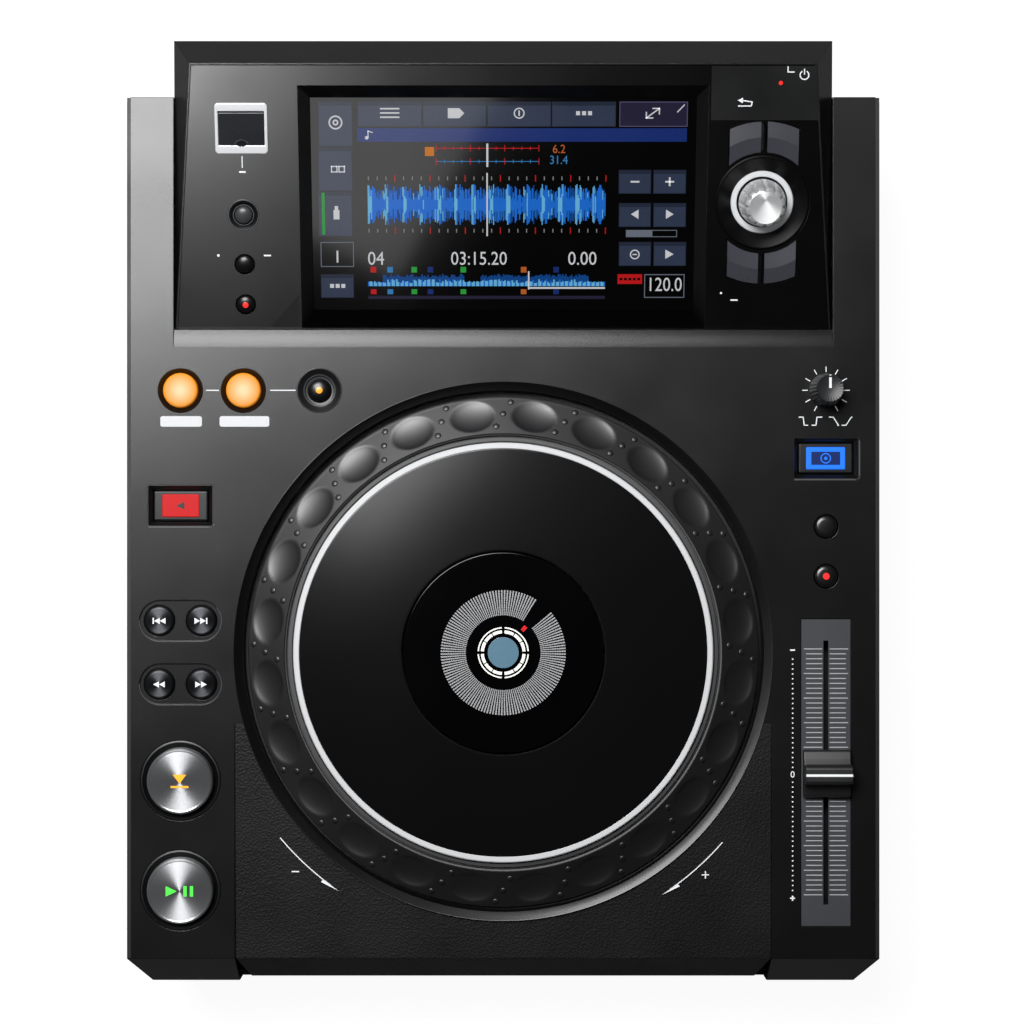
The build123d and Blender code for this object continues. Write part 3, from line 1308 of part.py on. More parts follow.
def ac_inlet():
    """Mains inlet: flange outside the panel, three pins in a deep cavity."""
    inlet = centred(INLET_X, INLET_WIDTH, INLET_HEIGHT, INLET_DEPTH, 0)
    inlet += centred(INLET_X, INLET_WIDTH + 4, INLET_HEIGHT + 4, 0, INLET_FLANGE)
    cavity = centred(INLET_X, INLET_CAVITY_WIDTH, INLET_CAVITY_HEIGHT, INLET_CAVITY_DEPTH - INLET_FLANGE, 5)
    upper = cavity.edges().filter_by(Axis.Y).group_by(Axis.Z)[-1]
    inlet -= chamfer(upper, INLET_CAVITY_HEIGHT / 4)
    for offset_x, z in ((-PIN_SPACING, -1), (0, 3), (PIN_SPACING, -1)):
        x = INLET_X + offset_x
        inlet += rear_socket(
            x, PIN_WIDTH, z - PIN_HEIGHT / 2, z + PIN_HEIGHT / 2, INLET_CAVITY_DEPTH, -PIN_SETBACK
        )
    return inlet


def power_button():
    """Push-on push-off switch's cap, with a collar behind the panel."""
    behind = PANEL_THICKNESS + SEAT
    cap = centred(POWER_X, POWER_WIDTH, POWER_HEIGHT, behind + 2, POWER_PROUD)
    cap = chamfer(cap.edges().group_by(Axis.Y)[-1], CAP_CHAMFER)
    collar = box(
        POWER_X - POWER_WIDTH / 2 - 1,
        POWER_X + POWER_WIDTH / 2 + 1,
        PANEL_Y - behind - 2,
        PANEL_Y - behind,
        SOCKET_Z - POWER_HEIGHT / 2 - 1,
        SOCKET_Z + POWER_HEIGHT / 2 + 1,
    )
    return cap + collar


def audio_jacks():
    """The pair of coaxial output jacks: body behind the panel, collar through it and sleeve in front."""
    jacks = []
    for x in JACKS_X:
        jack = box(
            x - JACK_BODY / 2,
            x + JACK_BODY / 2,
            PANEL_Y - PANEL_THICKNESS - JACK_DEPTH,
            PANEL_Y - PANEL_THICKNESS,
            FLOOR_Z + MAIN_BOARD_GAP + BOARD_THICKNESS,
            SOCKET_Z + JACK_BODY / 2,
        )
        jack += rear_rod(JACK_COLLAR, x, -PANEL_THICKNESS - 1, JACK_COLLAR_PROUD)
        jack += rear_rod(JACK_RADIUS, x, 0, JACK_LENGTH)
        jacks.append(jack - rear_rod(JACK_HOLE, x, -3, JACK_LENGTH + 1))
    return Compound(jacks)


def data_ports():
    """Network socket and data socket, standing on the main board."""
    board_z = FLOOR_Z + MAIN_BOARD_GAP + BOARD_THICKNESS - SOCKET_Z
    behind = -PANEL_THICKNESS - SEAT
    lan = rear_socket(LAN_X, LAN_WIDTH, board_z, LAN_HEIGHT / 2, LAN_DEPTH, behind)
    lan += centred(LAN_X, LAN_WIDTH, LAN_HEIGHT, LAN_DEPTH)
    lan -= centred(LAN_X, LAN_CAVITY_WIDTH, LAN_CAVITY_HEIGHT, LAN_CAVITY_DEPTH, 1)
    data = rear_socket(USBB_X, USBB_WIDTH, board_z, USBB_HEIGHT / 2, USBB_DEPTH, behind)
    data += centred(USBB_X, USBB_WIDTH, USBB_HEIGHT, USBB_DEPTH)
    data -= centred(USBB_X, USBB_CAVITY_WIDTH, USBB_CAVITY_HEIGHT, USBB_CAVITY_DEPTH, 1)
    data += centred(USBB_X, USBB_TONGUE_WIDTH, USBB_TONGUE_HEIGHT, USBB_DEPTH, -1)
    return Compound([lan, data])


NODES = {
    "lower_case": lower_case,
    "upper_case": upper_case,
    "front_apron": front_apron,
    "display_housing": display_housing,
    "display_fascia": display_fascia,
    "touch_panel": touch_panel,
    "lcd_module": lcd_module,
    "rear_panel": rear_panel,
    "jog_well_ring": jog_well_ring,
    "jog_base": jog_base,
    "jog_bearing": jog_bearing,
    "encoder_sensor": encoder_sensor,
    "center_display": center_display,
    "main_board": main_board,
    "power_supply": power_supply,
    "deck_button_boards": deck_button_boards,
    "display_button_boards": display_button_boards,
    "tempo_plate": tempo_plate,
    "tempo_fader": tempo_fader,
    "feet": feet,
    "case_screws": case_screws,
    "usb_frame": usb_frame,
    "usb_socket": usb_socket,
    "selector_dish": selector_dish,
    "selector_halo": selector_halo,
    "ac_inlet": ac_inlet,
    "audio_jacks": audio_jacks,
    "data_ports": data_ports,
    "transport_rings": transport_rings,
    "cue_button": lambda: deck_button(CUE, CUE_RADIUS, CUE_HEIGHT, LONG_TRAVEL, RING_DEPTH, CUE_BEVEL),
    "play_button": lambda: deck_button(PLAY, CUE_RADIUS, CUE_HEIGHT, LONG_TRAVEL, RING_DEPTH, CUE_BEVEL),
    "track_prev_button": lambda: deck_button(TRACK_PREV, SKIP_RADIUS, SKIP_HEIGHT, SHORT_TRAVEL),
    "track_next_button": lambda: deck_button(TRACK_NEXT, SKIP_RADIUS, SKIP_HEIGHT, SHORT_TRAVEL),
    "search_back_button": lambda: deck_button(SEARCH_BACK, SKIP_RADIUS, SKIP_HEIGHT, SHORT_TRAVEL),
    "search_forward_button": lambda: deck_button(SEARCH_FORWARD, SKIP_RADIUS, SKIP_HEIGHT, SHORT_TRAVEL),
    "loop_in_button": lambda: deck_button(LOOP_IN, LOOP_RADIUS, LOOP_HEIGHT, SHORT_TRAVEL),
    "loop_out_button": lambda: deck_button(LOOP_OUT, LOOP_RADIUS, LOOP_HEIGHT, SHORT_TRAVEL),
    "reloop_button": lambda: deck_button(RELOOP, RELOOP_RADIUS, RELOOP_HEIGHT, SHORT_TRAVEL, bevel=DOME_BEVEL),
    "reverse_button": lambda: key_button(REVERSE),
    "jog_mode_button": lambda: key_button(JOG_MODE),
    "tempo_range_button": lambda: deck_button(TEMPO_RANGE, DOT_RADIUS, DOT_HEIGHT, SHORT_TRAVEL),
    "master_tempo_button": lambda: deck_button(MASTER_TEMPO, DOT_RADIUS, DOT_HEIGHT, SHORT_TRAVEL),
    "usb_stop_button": lambda: fascia_button(FASCIA_BUTTONS[0], STOP_RADIUS),
    "time_mode_button": lambda: fascia_button(FASCIA_BUTTONS[1], SMALL_RADIUS),
    "quantize_button": lambda: fascia_button(FASCIA_BUTTONS[2], SMALL_RADIUS),
    "back_button": lambda: sector_key(0),
    "tag_button": lambda: sector_key(1),
    "filter_button": lambda: sector_key(2),
    "shortcut_button": lambda: sector_key(3),
    "selector_knob": selector_knob,
    "encoder_plunger": encoder_plunger,
    "speed_knob": speed_knob,
    "tempo_knob": tempo_knob,
    "usb_cover": usb_cover,
    "power_button": power_button,
    "jog_dial": jog_dial,
    "bearing_race": bearing_race,
    "encoder_disc": encoder_disc,
    "jog_top_plate": jog_top_plate,
    "jog_accent_ring": jog_accent_ring,
}

os.makedirs("parts", exist_ok=True)
for name, make in NODES.items():
    export_step(make(), f"parts/{name}.step")
print(f"size {WIDTH:.1f} x {DEPTH:.1f} x {CREST_Z:.1f} mm, {len(NODES)} nodes")
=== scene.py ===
import json
import math
import random

import bmesh
import bpy
from mathutils import Matrix, Vector

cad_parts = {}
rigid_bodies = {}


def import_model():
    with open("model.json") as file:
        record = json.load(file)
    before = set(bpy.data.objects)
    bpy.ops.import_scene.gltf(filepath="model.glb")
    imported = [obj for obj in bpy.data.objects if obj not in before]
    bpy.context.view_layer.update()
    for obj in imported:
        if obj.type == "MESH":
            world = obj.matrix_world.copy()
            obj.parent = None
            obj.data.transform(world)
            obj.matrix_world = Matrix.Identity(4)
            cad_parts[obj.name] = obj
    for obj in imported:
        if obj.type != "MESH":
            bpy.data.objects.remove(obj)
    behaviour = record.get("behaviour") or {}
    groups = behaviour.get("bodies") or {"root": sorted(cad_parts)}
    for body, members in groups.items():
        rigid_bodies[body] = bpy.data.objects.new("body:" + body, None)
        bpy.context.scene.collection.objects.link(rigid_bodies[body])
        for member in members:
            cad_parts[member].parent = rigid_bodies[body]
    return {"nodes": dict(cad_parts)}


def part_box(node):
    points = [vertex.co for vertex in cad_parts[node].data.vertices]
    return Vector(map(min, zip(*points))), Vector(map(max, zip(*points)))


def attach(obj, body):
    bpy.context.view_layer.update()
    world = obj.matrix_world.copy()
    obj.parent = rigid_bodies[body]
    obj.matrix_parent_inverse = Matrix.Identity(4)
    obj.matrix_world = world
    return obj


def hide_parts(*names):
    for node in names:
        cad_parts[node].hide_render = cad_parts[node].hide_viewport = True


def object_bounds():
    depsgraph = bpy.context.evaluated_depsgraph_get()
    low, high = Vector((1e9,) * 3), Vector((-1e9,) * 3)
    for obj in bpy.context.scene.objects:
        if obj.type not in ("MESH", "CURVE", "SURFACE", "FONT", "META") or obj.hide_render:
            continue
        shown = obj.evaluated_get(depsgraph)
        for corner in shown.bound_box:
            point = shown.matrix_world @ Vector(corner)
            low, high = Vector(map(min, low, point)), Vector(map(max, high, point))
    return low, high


bl_info = {
    "name": "Tabletop Media Player",
    "version": (1, 0, 0),
    "blender": (4, 5, 0),
    "location": "3D View > Sidebar > Player",
    "description": "Builds the visible pieces of a tabletop media player on its packed frame",
    "category": "Add Mesh",
}

for leftover in list(bpy.data.objects):
    bpy.data.objects.remove(leftover)
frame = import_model()
CAD_BOX = [list(corner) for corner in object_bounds()]

MM = 0.001
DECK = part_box("upper_case")[1].z / MM
GROUND = CAD_BOX[0][2]
TILT = math.radians(15.0)
FASCIA_FRONT = (0.0, 75.8, 80.2)
SCREEN_DEPTH = 4.5
PRINT = 0.04  # how far a printed mark stands above its surface, in millimetres
STEM = 1.5  # half the width of the stems under the caps
BOARD = 74.0  # where the stems of the deck's caps end
CAP_FOOT = DECK - 3.0  # the underside of the round caps on the deck
FASCIA_FOOT = -4.0  # the same for the caps on the fascia, whose stems end at its own board
FASCIA_BOARD = -5.4
FASCIA_LEFT = -104.7  # the middle of the fascia's left column of controls
DIAL_SLOPE = math.radians(29.3)
DIAL_LIP = 0.25  # the flat between the dial's rim and its sloping face
FIGURE = 0.7  # how tall a numeral is for a font size of 1
CLOUD_SCALE = 28.0  # the wide patches of every finish, and their share beside its grain
CLOUD_SHARE = 0.35
LATHE_RINGS = 900.0

ON_DECK = Matrix.Identity(4)
ON_FASCIA = Matrix.Translation(FASCIA_FRONT) @ Matrix.Rotation(TILT, 4, "X")

FINISHES = {}

# Each lamp's name, place, size, turn in degrees where it faces straight down, and its CAD nodes. The main
# lamp leaves its nodes and pieces out, and the others light nothing but theirs.
LAMPS = (
    ("main", (-0.345, 0.547, 1.35), (0.7, 0.7), None, ("display_fascia", "touch_panel")),
    ("fascia", (-0.32, -0.206, 1.32), (0.12, 0.12), None, ("display_fascia", "display_housing")),
    ("glass", (-0.195, -0.17, 1.32), (0.44, 0.44), -27.0, ("touch_panel",)),
    ("dial", (-0.24, 0.345, 0.68), (0.55, 0.35), None, ()),
    ("plate", (-0.14, 0.12, 1.35), (0.2, 0.2), None, ()),
    ("well", (-0.55, 0.64, 0.53), (0.75, 0.75), None, ()),
    ("selector", (0.18, -0.256, 0.554), (0.2, 0.2), None, ()),
)

# The screen's colours, by their places in the list of its finishes
(
    TAB_EDGE, TAB, VIOLET_EDGE, VIOLET, TITLE, GREEN, SLATE, BLACK, RED, AMBER, AZURE, WHITE, GREY, ORANGE,
    WAVE_DEEP, WAVE, WAVE_PALE,
) = range(17)

# The screen's touch tabs and its other panels, as left, right, low and high edge, colour and lift
TABS = (
    (-74.2, -60.5, 73.6, 91.5), (-74.5, -60.8, 55.7, 73.3), (-74.8, -61.1, 37.3, 55.4),
    (-74.3, -60.9, 12.1, 21.8), (-58.4, -32.7, 81.5, 91.5), (-32.2, -6.7, 81.5, 91.5),
    (-6.4, 19.2, 81.5, 91.5), (19.5, 45.2, 81.5, 91.5), (46.6, 59.7, 54.6, 64.2), (60.6, 73.8, 54.6, 64.2),
    (46.8, 59.8, 41.1, 50.8), (60.8, 74.0, 41.1, 50.8), (47.0, 60.1, 25.2, 35.0), (61.1, 74.3, 25.2, 35.0),
)
PANELS = (
    (46.6, 74.0, 81.5, 91.5, VIOLET_EDGE), (46.95, 73.65, 81.85, 91.15, VIOLET, 0.02),
    (-58.6, 73.8, 75.5, 80.9, TITLE), (-73.4, -72.2, 38.0, 55.0, GREEN, 0.04),
    (-74.2, -60.7, 24.8, 35.0, SLATE), (-73.85, -61.05, 25.15, 34.65, BLACK, 0.02),
    (57.5, 73.9, 12.1, 21.8, SLATE), (57.85, 73.55, 12.45, 21.45, BLACK, 0.02),
    (46.6, 56.6, 17.8, 21.8, RED), (49.8, 60.2, 37.0, 39.9, SLATE), (60.2, 70.5, 37.0, 39.9, SLATE),
    (60.5, 70.2, 37.3, 39.6, BLACK, 0.02), (-31.5, -27.8, 69.8, 73.4, AMBER),
)
READINGS = (
    ("04", 5.4, -55.2, 25.7, WHITE, "LEFT", 0.9), ("03:15.20", 5.4, -21.4, 25.7, WHITE, "LEFT", 0.87),
    ("0.00", 5.4, 26.2, 25.7, WHITE, "LEFT", 0.9), ("120.0", 5.6, 73.0, 14.9, WHITE, "RIGHT", 0.82),
    ("1", 5.0, -67.4, 26.6, WHITE, "CENTER", 1.0), ("6.2", 3.4, 19.8, 71.0, ORANGE, "LEFT", 0.9),
    ("31.4", 3.4, 18.6, 66.6, AZURE, "LEFT", 0.9),
)


# Shapes, modelled in millimetres

def merge_in(piece, part, place=ON_DECK, skin=0):
    """Adds a closed part to a piece, with its skin."""
    bmesh.ops.remove_doubles(part, verts=part.verts, dist=1e-4)
    bmesh.ops.recalc_face_normals(part, faces=part.faces)
    bmesh.ops.transform(part, matrix=place, verts=part.verts)
    for face in part.faces:
        face.material_index = skin
    mesh = bpy.data.meshes.new("part")
    part.to_mesh(mesh)
    part.free()
    piece.from_mesh(mesh)
    bpy.data.meshes.remove(mesh)


def turned(piece, outline, steps, x=0.0, y=0.0, skin=0, start=0.0, sweep=360.0):
    """Spins an outline of (radius, height) about an upright axis."""
    part = bmesh.new()
    verts = [part.verts.new((radius, 0.0, height)) for radius, height in outline]
    solid = outline[0][0] == 0.0 and outline[-1][0] == 0.0
    whole = sweep == 360.0
    if whole:
        pairs = list(zip(verts, verts[1:])) + ([] if solid else [(verts[-1], verts[0])])
        geometry = verts + [part.edges.new(pair) for pair in pairs]
    else:
        part.faces.new(verts)
        geometry = part.verts[:] + part.edges[:] + part.faces[:]
    bmesh.ops.transform(part, matrix=Matrix.Rotation(math.radians(start), 4, "Z"), verts=part.verts)
    bmesh.ops.spin(
        part, geom=geometry, axis=(0, 0, 1), angle=math.radians(sweep), steps=steps, use_merge=whole
    )
    merge_in(piece, part, Matrix.Translation((x, y, 0.0)), skin)


def braced(outline, reach=0.08):
    """An outline with extra points by its corners, which keep its flats flat under smooth shading."""
    points = [outline[0]]
    for (r0, z0), (r1, z1) in zip(outline, outline[1:]):
        length = math.hypot(r1 - r0, z1 - z0)
        if length > 5 * reach:
            share = reach / length
            points.append((r0 + (r1 - r0) * share, z0 + (z1 - z0) * share))
            points.append((r1 + (r0 - r1) * share, z1 + (z0 - z1) * share))
        points.append((r1, z1))
    return points


def dome(radius, top, drop):
    """The outline of a round dome, from its crest to its rim."""
    turns = [math.radians(i * 90 / 8) for i in range(9)]
    return [(radius * math.sin(turn), top - drop * (1 - math.cos(turn))) for turn in turns]


def round_edges(part, edges, radius, segments):
    bmesh.ops.bevel(
        part, geom=edges, offset=radius, segments=segments, profile=0.5, affect="EDGES", material=-1
    )


def extrude(part, way):
    """Carries the faces of a flat part along and returns their corners."""
    raised = bmesh.ops.extrude_face_region(part, geom=part.faces[:])
    far = [v for v in raised["geom"] if isinstance(v, bmesh.types.BMVert)]
    bmesh.ops.translate(part, vec=way, verts=far)
    return far


def tile(piece, place, size, skin=0, bevel=0.0):
    """A block about its own middle, with its edges rounded where bevel is given."""
    part = bmesh.new()
    bmesh.ops.create_cube(part, size=1.0)
    bmesh.ops.scale(part, vec=size, verts=part.verts)
    if bevel:
        round_edges(part, part.edges[:], bevel, 3)
    merge_in(piece, part, place, skin)


def slab(piece, x0, x1, y0, y1, z0, z1, skin=0, bevel=0.0, turn=0.0):
    """A block between two corners."""
    middle = Matrix.Translation(((x0 + x1) / 2, (y0 + y1) / 2, (z0 + z1) / 2))
    tile(piece, middle @ Matrix.Rotation(turn, 4, "Z"), (x1 - x0, y1 - y0, z1 - z0), skin, bevel)


def stem(piece, x, y, low, high):
    """The square stem under a cap."""
    slab(piece, x - STEM, x + STEM, y - STEM, y + STEM, low, high)


def lying(piece, outline, x0, x1, place=ON_DECK, bevel=0.0):
    """A prism that lies across the player, on an outline of (depth, height)."""
    part = bmesh.new()
    part.faces.new([part.verts.new((x0, along, height)) for along, height in outline])
    extrude(part, (x1 - x0, 0, 0))
    if bevel:
        round_edges(part, part.edges[:], bevel, 2)
    merge_in(piece, part, place)


def rounded(x0, x1, y0, y1, radius, steps=6):
    """The outline of a rectangle with round corners."""
    points = []
    for cx, cy, start in (
        (x1 - radius, y1 - radius, 0), (x0 + radius, y1 - radius, 90),
        (x0 + radius, y0 + radius, 180), (x1 - radius, y0 + radius, 270),
    ):
        for i in range(steps + 1):
            angle = math.radians(start + 90 * i / steps)
            points.append((cx + radius * math.cos(angle), cy + radius * math.sin(angle)))
    return points


def round_cap(outline, x, y, steps, tight=False, foot=CAP_FOOT, board=BOARD):
    """A turned cap, closed below, on its stem."""
    cap = bmesh.new()
    whole = outline + [(outline[-1][0], foot), (0.0, foot)]
    turned(cap, braced(whole) if tight else whole, steps, x, y)
    stem(cap, x, y, board, foot)
    return cap


def ribbed(outline, grooves, depth, x, y, low, steps, start=3.0):
    """A turned knob whose side carries shallow grooves."""
    piece = bmesh.new()
    turned(piece, outline, steps)
    for vert in piece.verts:
        radius = math.hypot(vert.co.x, vert.co.y)
        if radius < start or vert.co.z < low:
            continue
        angle = math.atan2(vert.co.y, vert.co.x) * grooves
        pull = depth * max(0.0, math.cos(angle)) ** 2
        vert.co.x -= vert.co.x / radius * pull
        vert.co.y -= vert.co.y / radius * pull
    bmesh.ops.translate(piece, vec=(x, y, 0), verts=piece.verts)
    return piece


class Pen:
    """Draws flat marks of one skin on a piece, between two heights."""

    def __init__(self, piece, low, skin=0, high=None):
        self.piece = piece
        self.low = low
        self.skin = skin
        self.high = low + PRINT if high is None else high

    def bar(self, x0, x1, y0, y1):
        slab(self.piece, x0, x1, y0, y1, self.low, self.high, self.skin)

    def shape(self, *points):
        """A filled outline."""
        part = bmesh.new()
        part.faces.new([part.verts.new((x, y, self.low)) for x, y in points])
        extrude(part, (0, 0, self.high - self.low))
        merge_in(self.piece, part, ON_DECK, self.skin)

    def line(self, width, *points):
        """A line of even width through its points."""
        for (xa, ya), (xb, yb) in zip(points, points[1:]):
            reach = (math.hypot(xb - xa, yb - ya) + width * 0.9) / 2
            x, y = (xa + xb) / 2, (ya + yb) / 2
            slab(
                self.piece, x - reach, x + reach, y - width / 2, y + width / 2, self.low, self.high,
                self.skin, turn=math.atan2(yb - ya, xb - xa),
            )

    def ring(self, x, y, inner, outer, steps=24, start=0.0, sweep=359.0):
        """A strip along part of a circle, angles in degrees."""
        outline = [(inner, self.low), (outer, self.low), (outer, self.high), (inner, self.high)]
        turned(self.piece, outline, steps, x, y, self.skin, start, sweep)

    def dot(self, x, y, radius, steps=20):
        outline = [(0.0, self.high), (radius, self.high), (radius, self.low), (0.0, self.low)]
        turned(self.piece, outline, steps, x, y, self.skin)

    def digits(self, words, height, x, y, align="CENTER", narrow=1.0):
        """Plain numerals, standing on y."""
        curve = bpy.data.curves.new("digits", "FONT")
        curve.body = words
        curve.size = height / FIGURE
        curve.extrude = PRINT / 2
        curve.align_x = align
        curve.resolution_u = 3
        holder = bpy.data.objects.new("digits", curve)
        mesh = bpy.data.meshes.new_from_object(holder)
        part = bmesh.new()
        part.from_mesh(mesh)
        place = Matrix.Translation((x, y, self.low + PRINT / 2)) @ Matrix.Diagonal((narrow, 1, 1, 1))
        merge_in(self.piece, part, place, self.skin)
        bpy.data.meshes.remove(mesh)
        bpy.data.objects.remove(holder)
        bpy.data.curves.remove(curve)


def settle(name, piece, skins, body, instead_of=(), place=ON_DECK, soft=38.0, level=True):
    """Puts a finished piece in place in metres, dresses it and makes it ride on its body."""
    bmesh.ops.transform(piece, matrix=Matrix.Scale(MM, 4) @ place, verts=piece.verts)
    mesh = bpy.data.meshes.new(name)
    piece.to_mesh(mesh)
    piece.free()
    for skin in skins:
        mesh.materials.append(skin)
    mesh.shade_smooth()
    mesh.set_sharp_from_angle(angle=math.radians(soft))
    thing = bpy.data.objects.new(name, mesh)
    bpy.context.collection.objects.link(thing)
    if level:
        thing.modifiers.new("flat_faces", "WEIGHTED_NORMAL").keep_sharp = True
    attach(thing, body)
    if instead_of:
        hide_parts(*instead_of)
    return thing


def tie(thing, lamp):
    """Adds a piece to those that a lamp is tied to."""
    bpy.data.collections[lamp + "_block"].objects.link(thing)


def seat(node):
    """The middle of an upright node's plan, in millimetres."""
    low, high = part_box(node)
    return (low.x + high.x) / 2 / MM, (low.y + high.y) / 2 / MM


def crest(node):
    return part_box(node)[1].z / MM


def dress(skin, *nodes):
    """Gives CAD nodes their finish."""
    for node in nodes:
        slots = frame["nodes"][node].data.materials
        slots.clear()
        slots.append(skin)


# Finishes

def paint(red, green, blue):
    """A colour from its 0 to 255 values, as light."""
    values = [value / 255 for value in (red, green, blue)]
    return tuple(v / 12.92 if v <= 0.04045 else ((v + 0.055) / 1.055) ** 2.4 for v in values) + (1.0,)


def shaded(colour, factor):
    return tuple(min(1.0, value * factor) for value in colour[:3]) + (1.0,)


def wire(tree, target, inputs):
    """Sets each input of a node to its value, or joins it to another node's output."""
    for socket, value in inputs.items():
        if isinstance(value, bpy.types.NodeSocket):
            tree.links.new(value, target.inputs[socket])
        else:
            target.inputs[socket].default_value = value


def add_node(tree, kind, inputs, **options):
    """Adds a shader node with its options and its inputs."""
    added = tree.nodes.new("ShaderNode" + kind)
    for option, value in options.items():
        setattr(added, option, value)
    wire(tree, added, inputs)
    return added


def blend(tree, factor, *stops):
    """A colour that runs between two stops of (position, colour)."""
    tones = add_node(tree, "ValToRGB", {"Fac": factor})
    for element, (position, colour) in zip(tones.color_ramp.elements, stops):
        element.position = position
        element.color = colour
    return tones.outputs["Color"]


def centred(tree, centre):
    """The object's own coordinates, counted from a centre."""
    where = add_node(tree, "TexCoord", {}).outputs["Object"]
    shift = tuple(-c for c in centre)
    return add_node(tree, "Mapping", {"Location": shift, "Vector": where}).outputs["Vector"]


def finish(
    name, colour, rough=0.45, metal=0.0, coat=0.0, coat_rough=0.06, grain=1400.0, relief=0.25, depth=0.00003,
    shade=0.12, spread=0.05, cells=False, glow=0.0, gloss=0.5, spun=0.0, edges=0.0, centre=None,
):
    """A surface with fine grain, uneven gloss and colour, all placed by the object's own coordinates."""
    if name in FINISHES:
        return FINISHES[name]
    material = FINISHES[name] = bpy.data.materials.new(name)
    material.use_nodes = True
    tree = material.node_tree
    where = add_node(tree, "TexCoord", {}).outputs["Object"]
    grains = add_node(tree, "TexVoronoi" if cells else "TexNoise", {"Scale": grain, "Vector": where})
    texture = grains.outputs["Distance" if cells else "Fac"]
    patches = {"Scale": CLOUD_SCALE, "Detail": 4.0, "Vector": where}
    cloud = add_node(tree, "TexNoise", patches).outputs["Fac"]
    softer = add_node(tree, "Math", {0: cloud, 1: CLOUD_SHARE}, operation="MULTIPLY").outputs[0]
    mixed = add_node(tree, "Math", {0: texture, 1: 1 - CLOUD_SHARE, 2: softer}, operation="MULTIPLY_ADD")
    dark, pale = shaded(colour, 1 - shade), shaded(colour, 1 + shade)
    tones = blend(tree, mixed.outputs[0], (0.25, dark), (0.75, pale))
    dull, bright = min(1.0, rough + spread), max(0.02, rough - spread)
    span = {"From Min": 0.3, "From Max": 0.7, "To Min": bright, "To Max": dull}
    sheen = add_node(tree, "MapRange", {**span, "Value": cloud})
    height = texture
    if centre:
        lathe = {"Scale": LATHE_RINGS, "Distortion": 1.0, "Detail": 3.0, "Vector": centred(tree, centre)}
        height = add_node(tree, "TexWave", lathe, wave_type="RINGS", rings_direction="Z").outputs["Fac"]
    bump = add_node(tree, "Bump", {"Strength": relief, "Distance": depth, "Height": height})
    if edges:
        rounding = add_node(tree, "Bevel", {"Radius": edges * MM}, samples=4)
        wire(tree, bump, {"Normal": rounding.outputs["Normal"]})
    shader = tree.nodes["Principled BSDF"]
    wire(tree, shader, {
        "Base Color": tones, "Roughness": sheen.outputs["Result"], "Normal": bump.outputs["Normal"],
        "Metallic": metal, "Coat Weight": coat, "Coat Roughness": coat_rough, "Specular IOR Level": gloss,
    })
    if spun:
        tangent = add_node(tree, "Tangent", {}, direction_type="RADIAL", axis="Z").outputs["Tangent"]
        wire(tree, shader, {"Anisotropic": spun, "Anisotropic Rotation": 0.25, "Tangent": tangent})
    if glow:
        wire(tree, shader, {"Emission Color": tones, "Emission Strength": glow})
    return material


def lit_cap(name, centre, radius, core, rim):
    """A lamp shining through a cap, brightest at its centre."""
    material = finish(name, rim, rough=0.5, relief=0.05, glow=0.12, gloss=0.05)
    tree = material.node_tree
    away = centred(tree, [c * MM for c in centre])
    distance = add_node(tree, "VectorMath", {0: away}, operation="LENGTH").outputs["Value"]
    share = add_node(tree, "MapRange", {"From Max": radius * MM, "Value": distance}).outputs["Result"]
    tones = blend(tree, share, (0.15, core), (0.95, rim))
    wire(tree, tree.nodes["Principled BSDF"], {"Base Color": tones, "Emission Color": tones})
    return material


# White print; its faint glow is painted light, since print gives no light of its own
def print_white():
    return finish("print_white", paint(226, 228, 230), rough=0.5, glow=0.25, relief=0.05, shade=0.04)


def dome_gloss():
    return finish("dome_gloss", paint(9, 9, 10), rough=0.3, coat=0.1, relief=0.03)


def dot_red():
    return finish("dot_red", paint(226, 40, 36), rough=0.3, glow=0.9, relief=0.02, shade=0.08)


# Pale grey for thin rings at the edges of recesses: a painted highlight of those edges
def recess_line():
    return finish("recess_line", paint(92, 94, 97), rough=0.35, relief=0.05)


# Settings

def colour_setting(name, description, value):
    return bpy.props.FloatVectorProperty(
        name=name, description=description, default=value, size=4, subtype="COLOR"
    )


def length_setting(name, description, value):
    return bpy.props.FloatProperty(name=name, description=description, default=value, unit="LENGTH")


def level_setting(name, description, value):
    return bpy.props.FloatProperty(name=name, description=description, default=value, min=0.0)


def power_setting(name, description, value):
    return bpy.props.FloatProperty(name=name, description=description, default=value, unit="POWER")


def count_setting(name, description, value, least):
    return bpy.props.IntProperty(name=name, description=description, default=value, min=least)


class StageSettings(bpy.types.PropertyGroup):
    floor_size: length_setting("Floor size", "Side of the square floor", 8.0)
    camera_height: length_setting("Camera height", "Camera above the table", 1.1337)
    camera_forward: length_setting("Camera place", "Camera along the player's depth", -0.0062)
    lens: bpy.props.FloatProperty(
        name="Lens", description="Focal length in millimetres", default=90.8, min=20.0,
        subtype="DISTANCE_CAMERA",
    )
    shift_x: bpy.props.FloatProperty(name="Shift across", description="Lens shift across", default=0.0086)
    shift_y: bpy.props.FloatProperty(name="Shift up", description="Lens shift up the frame", default=0.0176)
    world_level: level_setting("Surround level", "Light from overhead, all round", 0.02)
    horizon_level: level_setting("Horizon level", "Light from low down, all round", 0.3)
    main_power: power_setting("Main lamp", "Power of the large lamp at the rear left", 26.5)
    fascia_power: power_setting("Fascia lamp", "Power of the small lamp for the display block", 3.0)
    glass_power: power_setting("Glass lamp", "Power of the lamp that the glass mirrors", 0.6)
    dial_power: power_setting("Dial lamp", "Power of the lamp behind the jog dial", 8.1)
    plate_power: power_setting("Plate lamp", "Power of the lamp that the touch plate mirrors", 0.68)
    well_power: power_setting(
        "Well lamp", "Power of the lamp that the ring round the jog wheel mirrors", 21.0
    )
    selector_power: power_setting("Selector lamp", "Power of the lamp that the selector mirrors", 0.7)
    floor_colour: colour_setting("Floor colour", "Colour of the table top", paint(90, 90, 90))


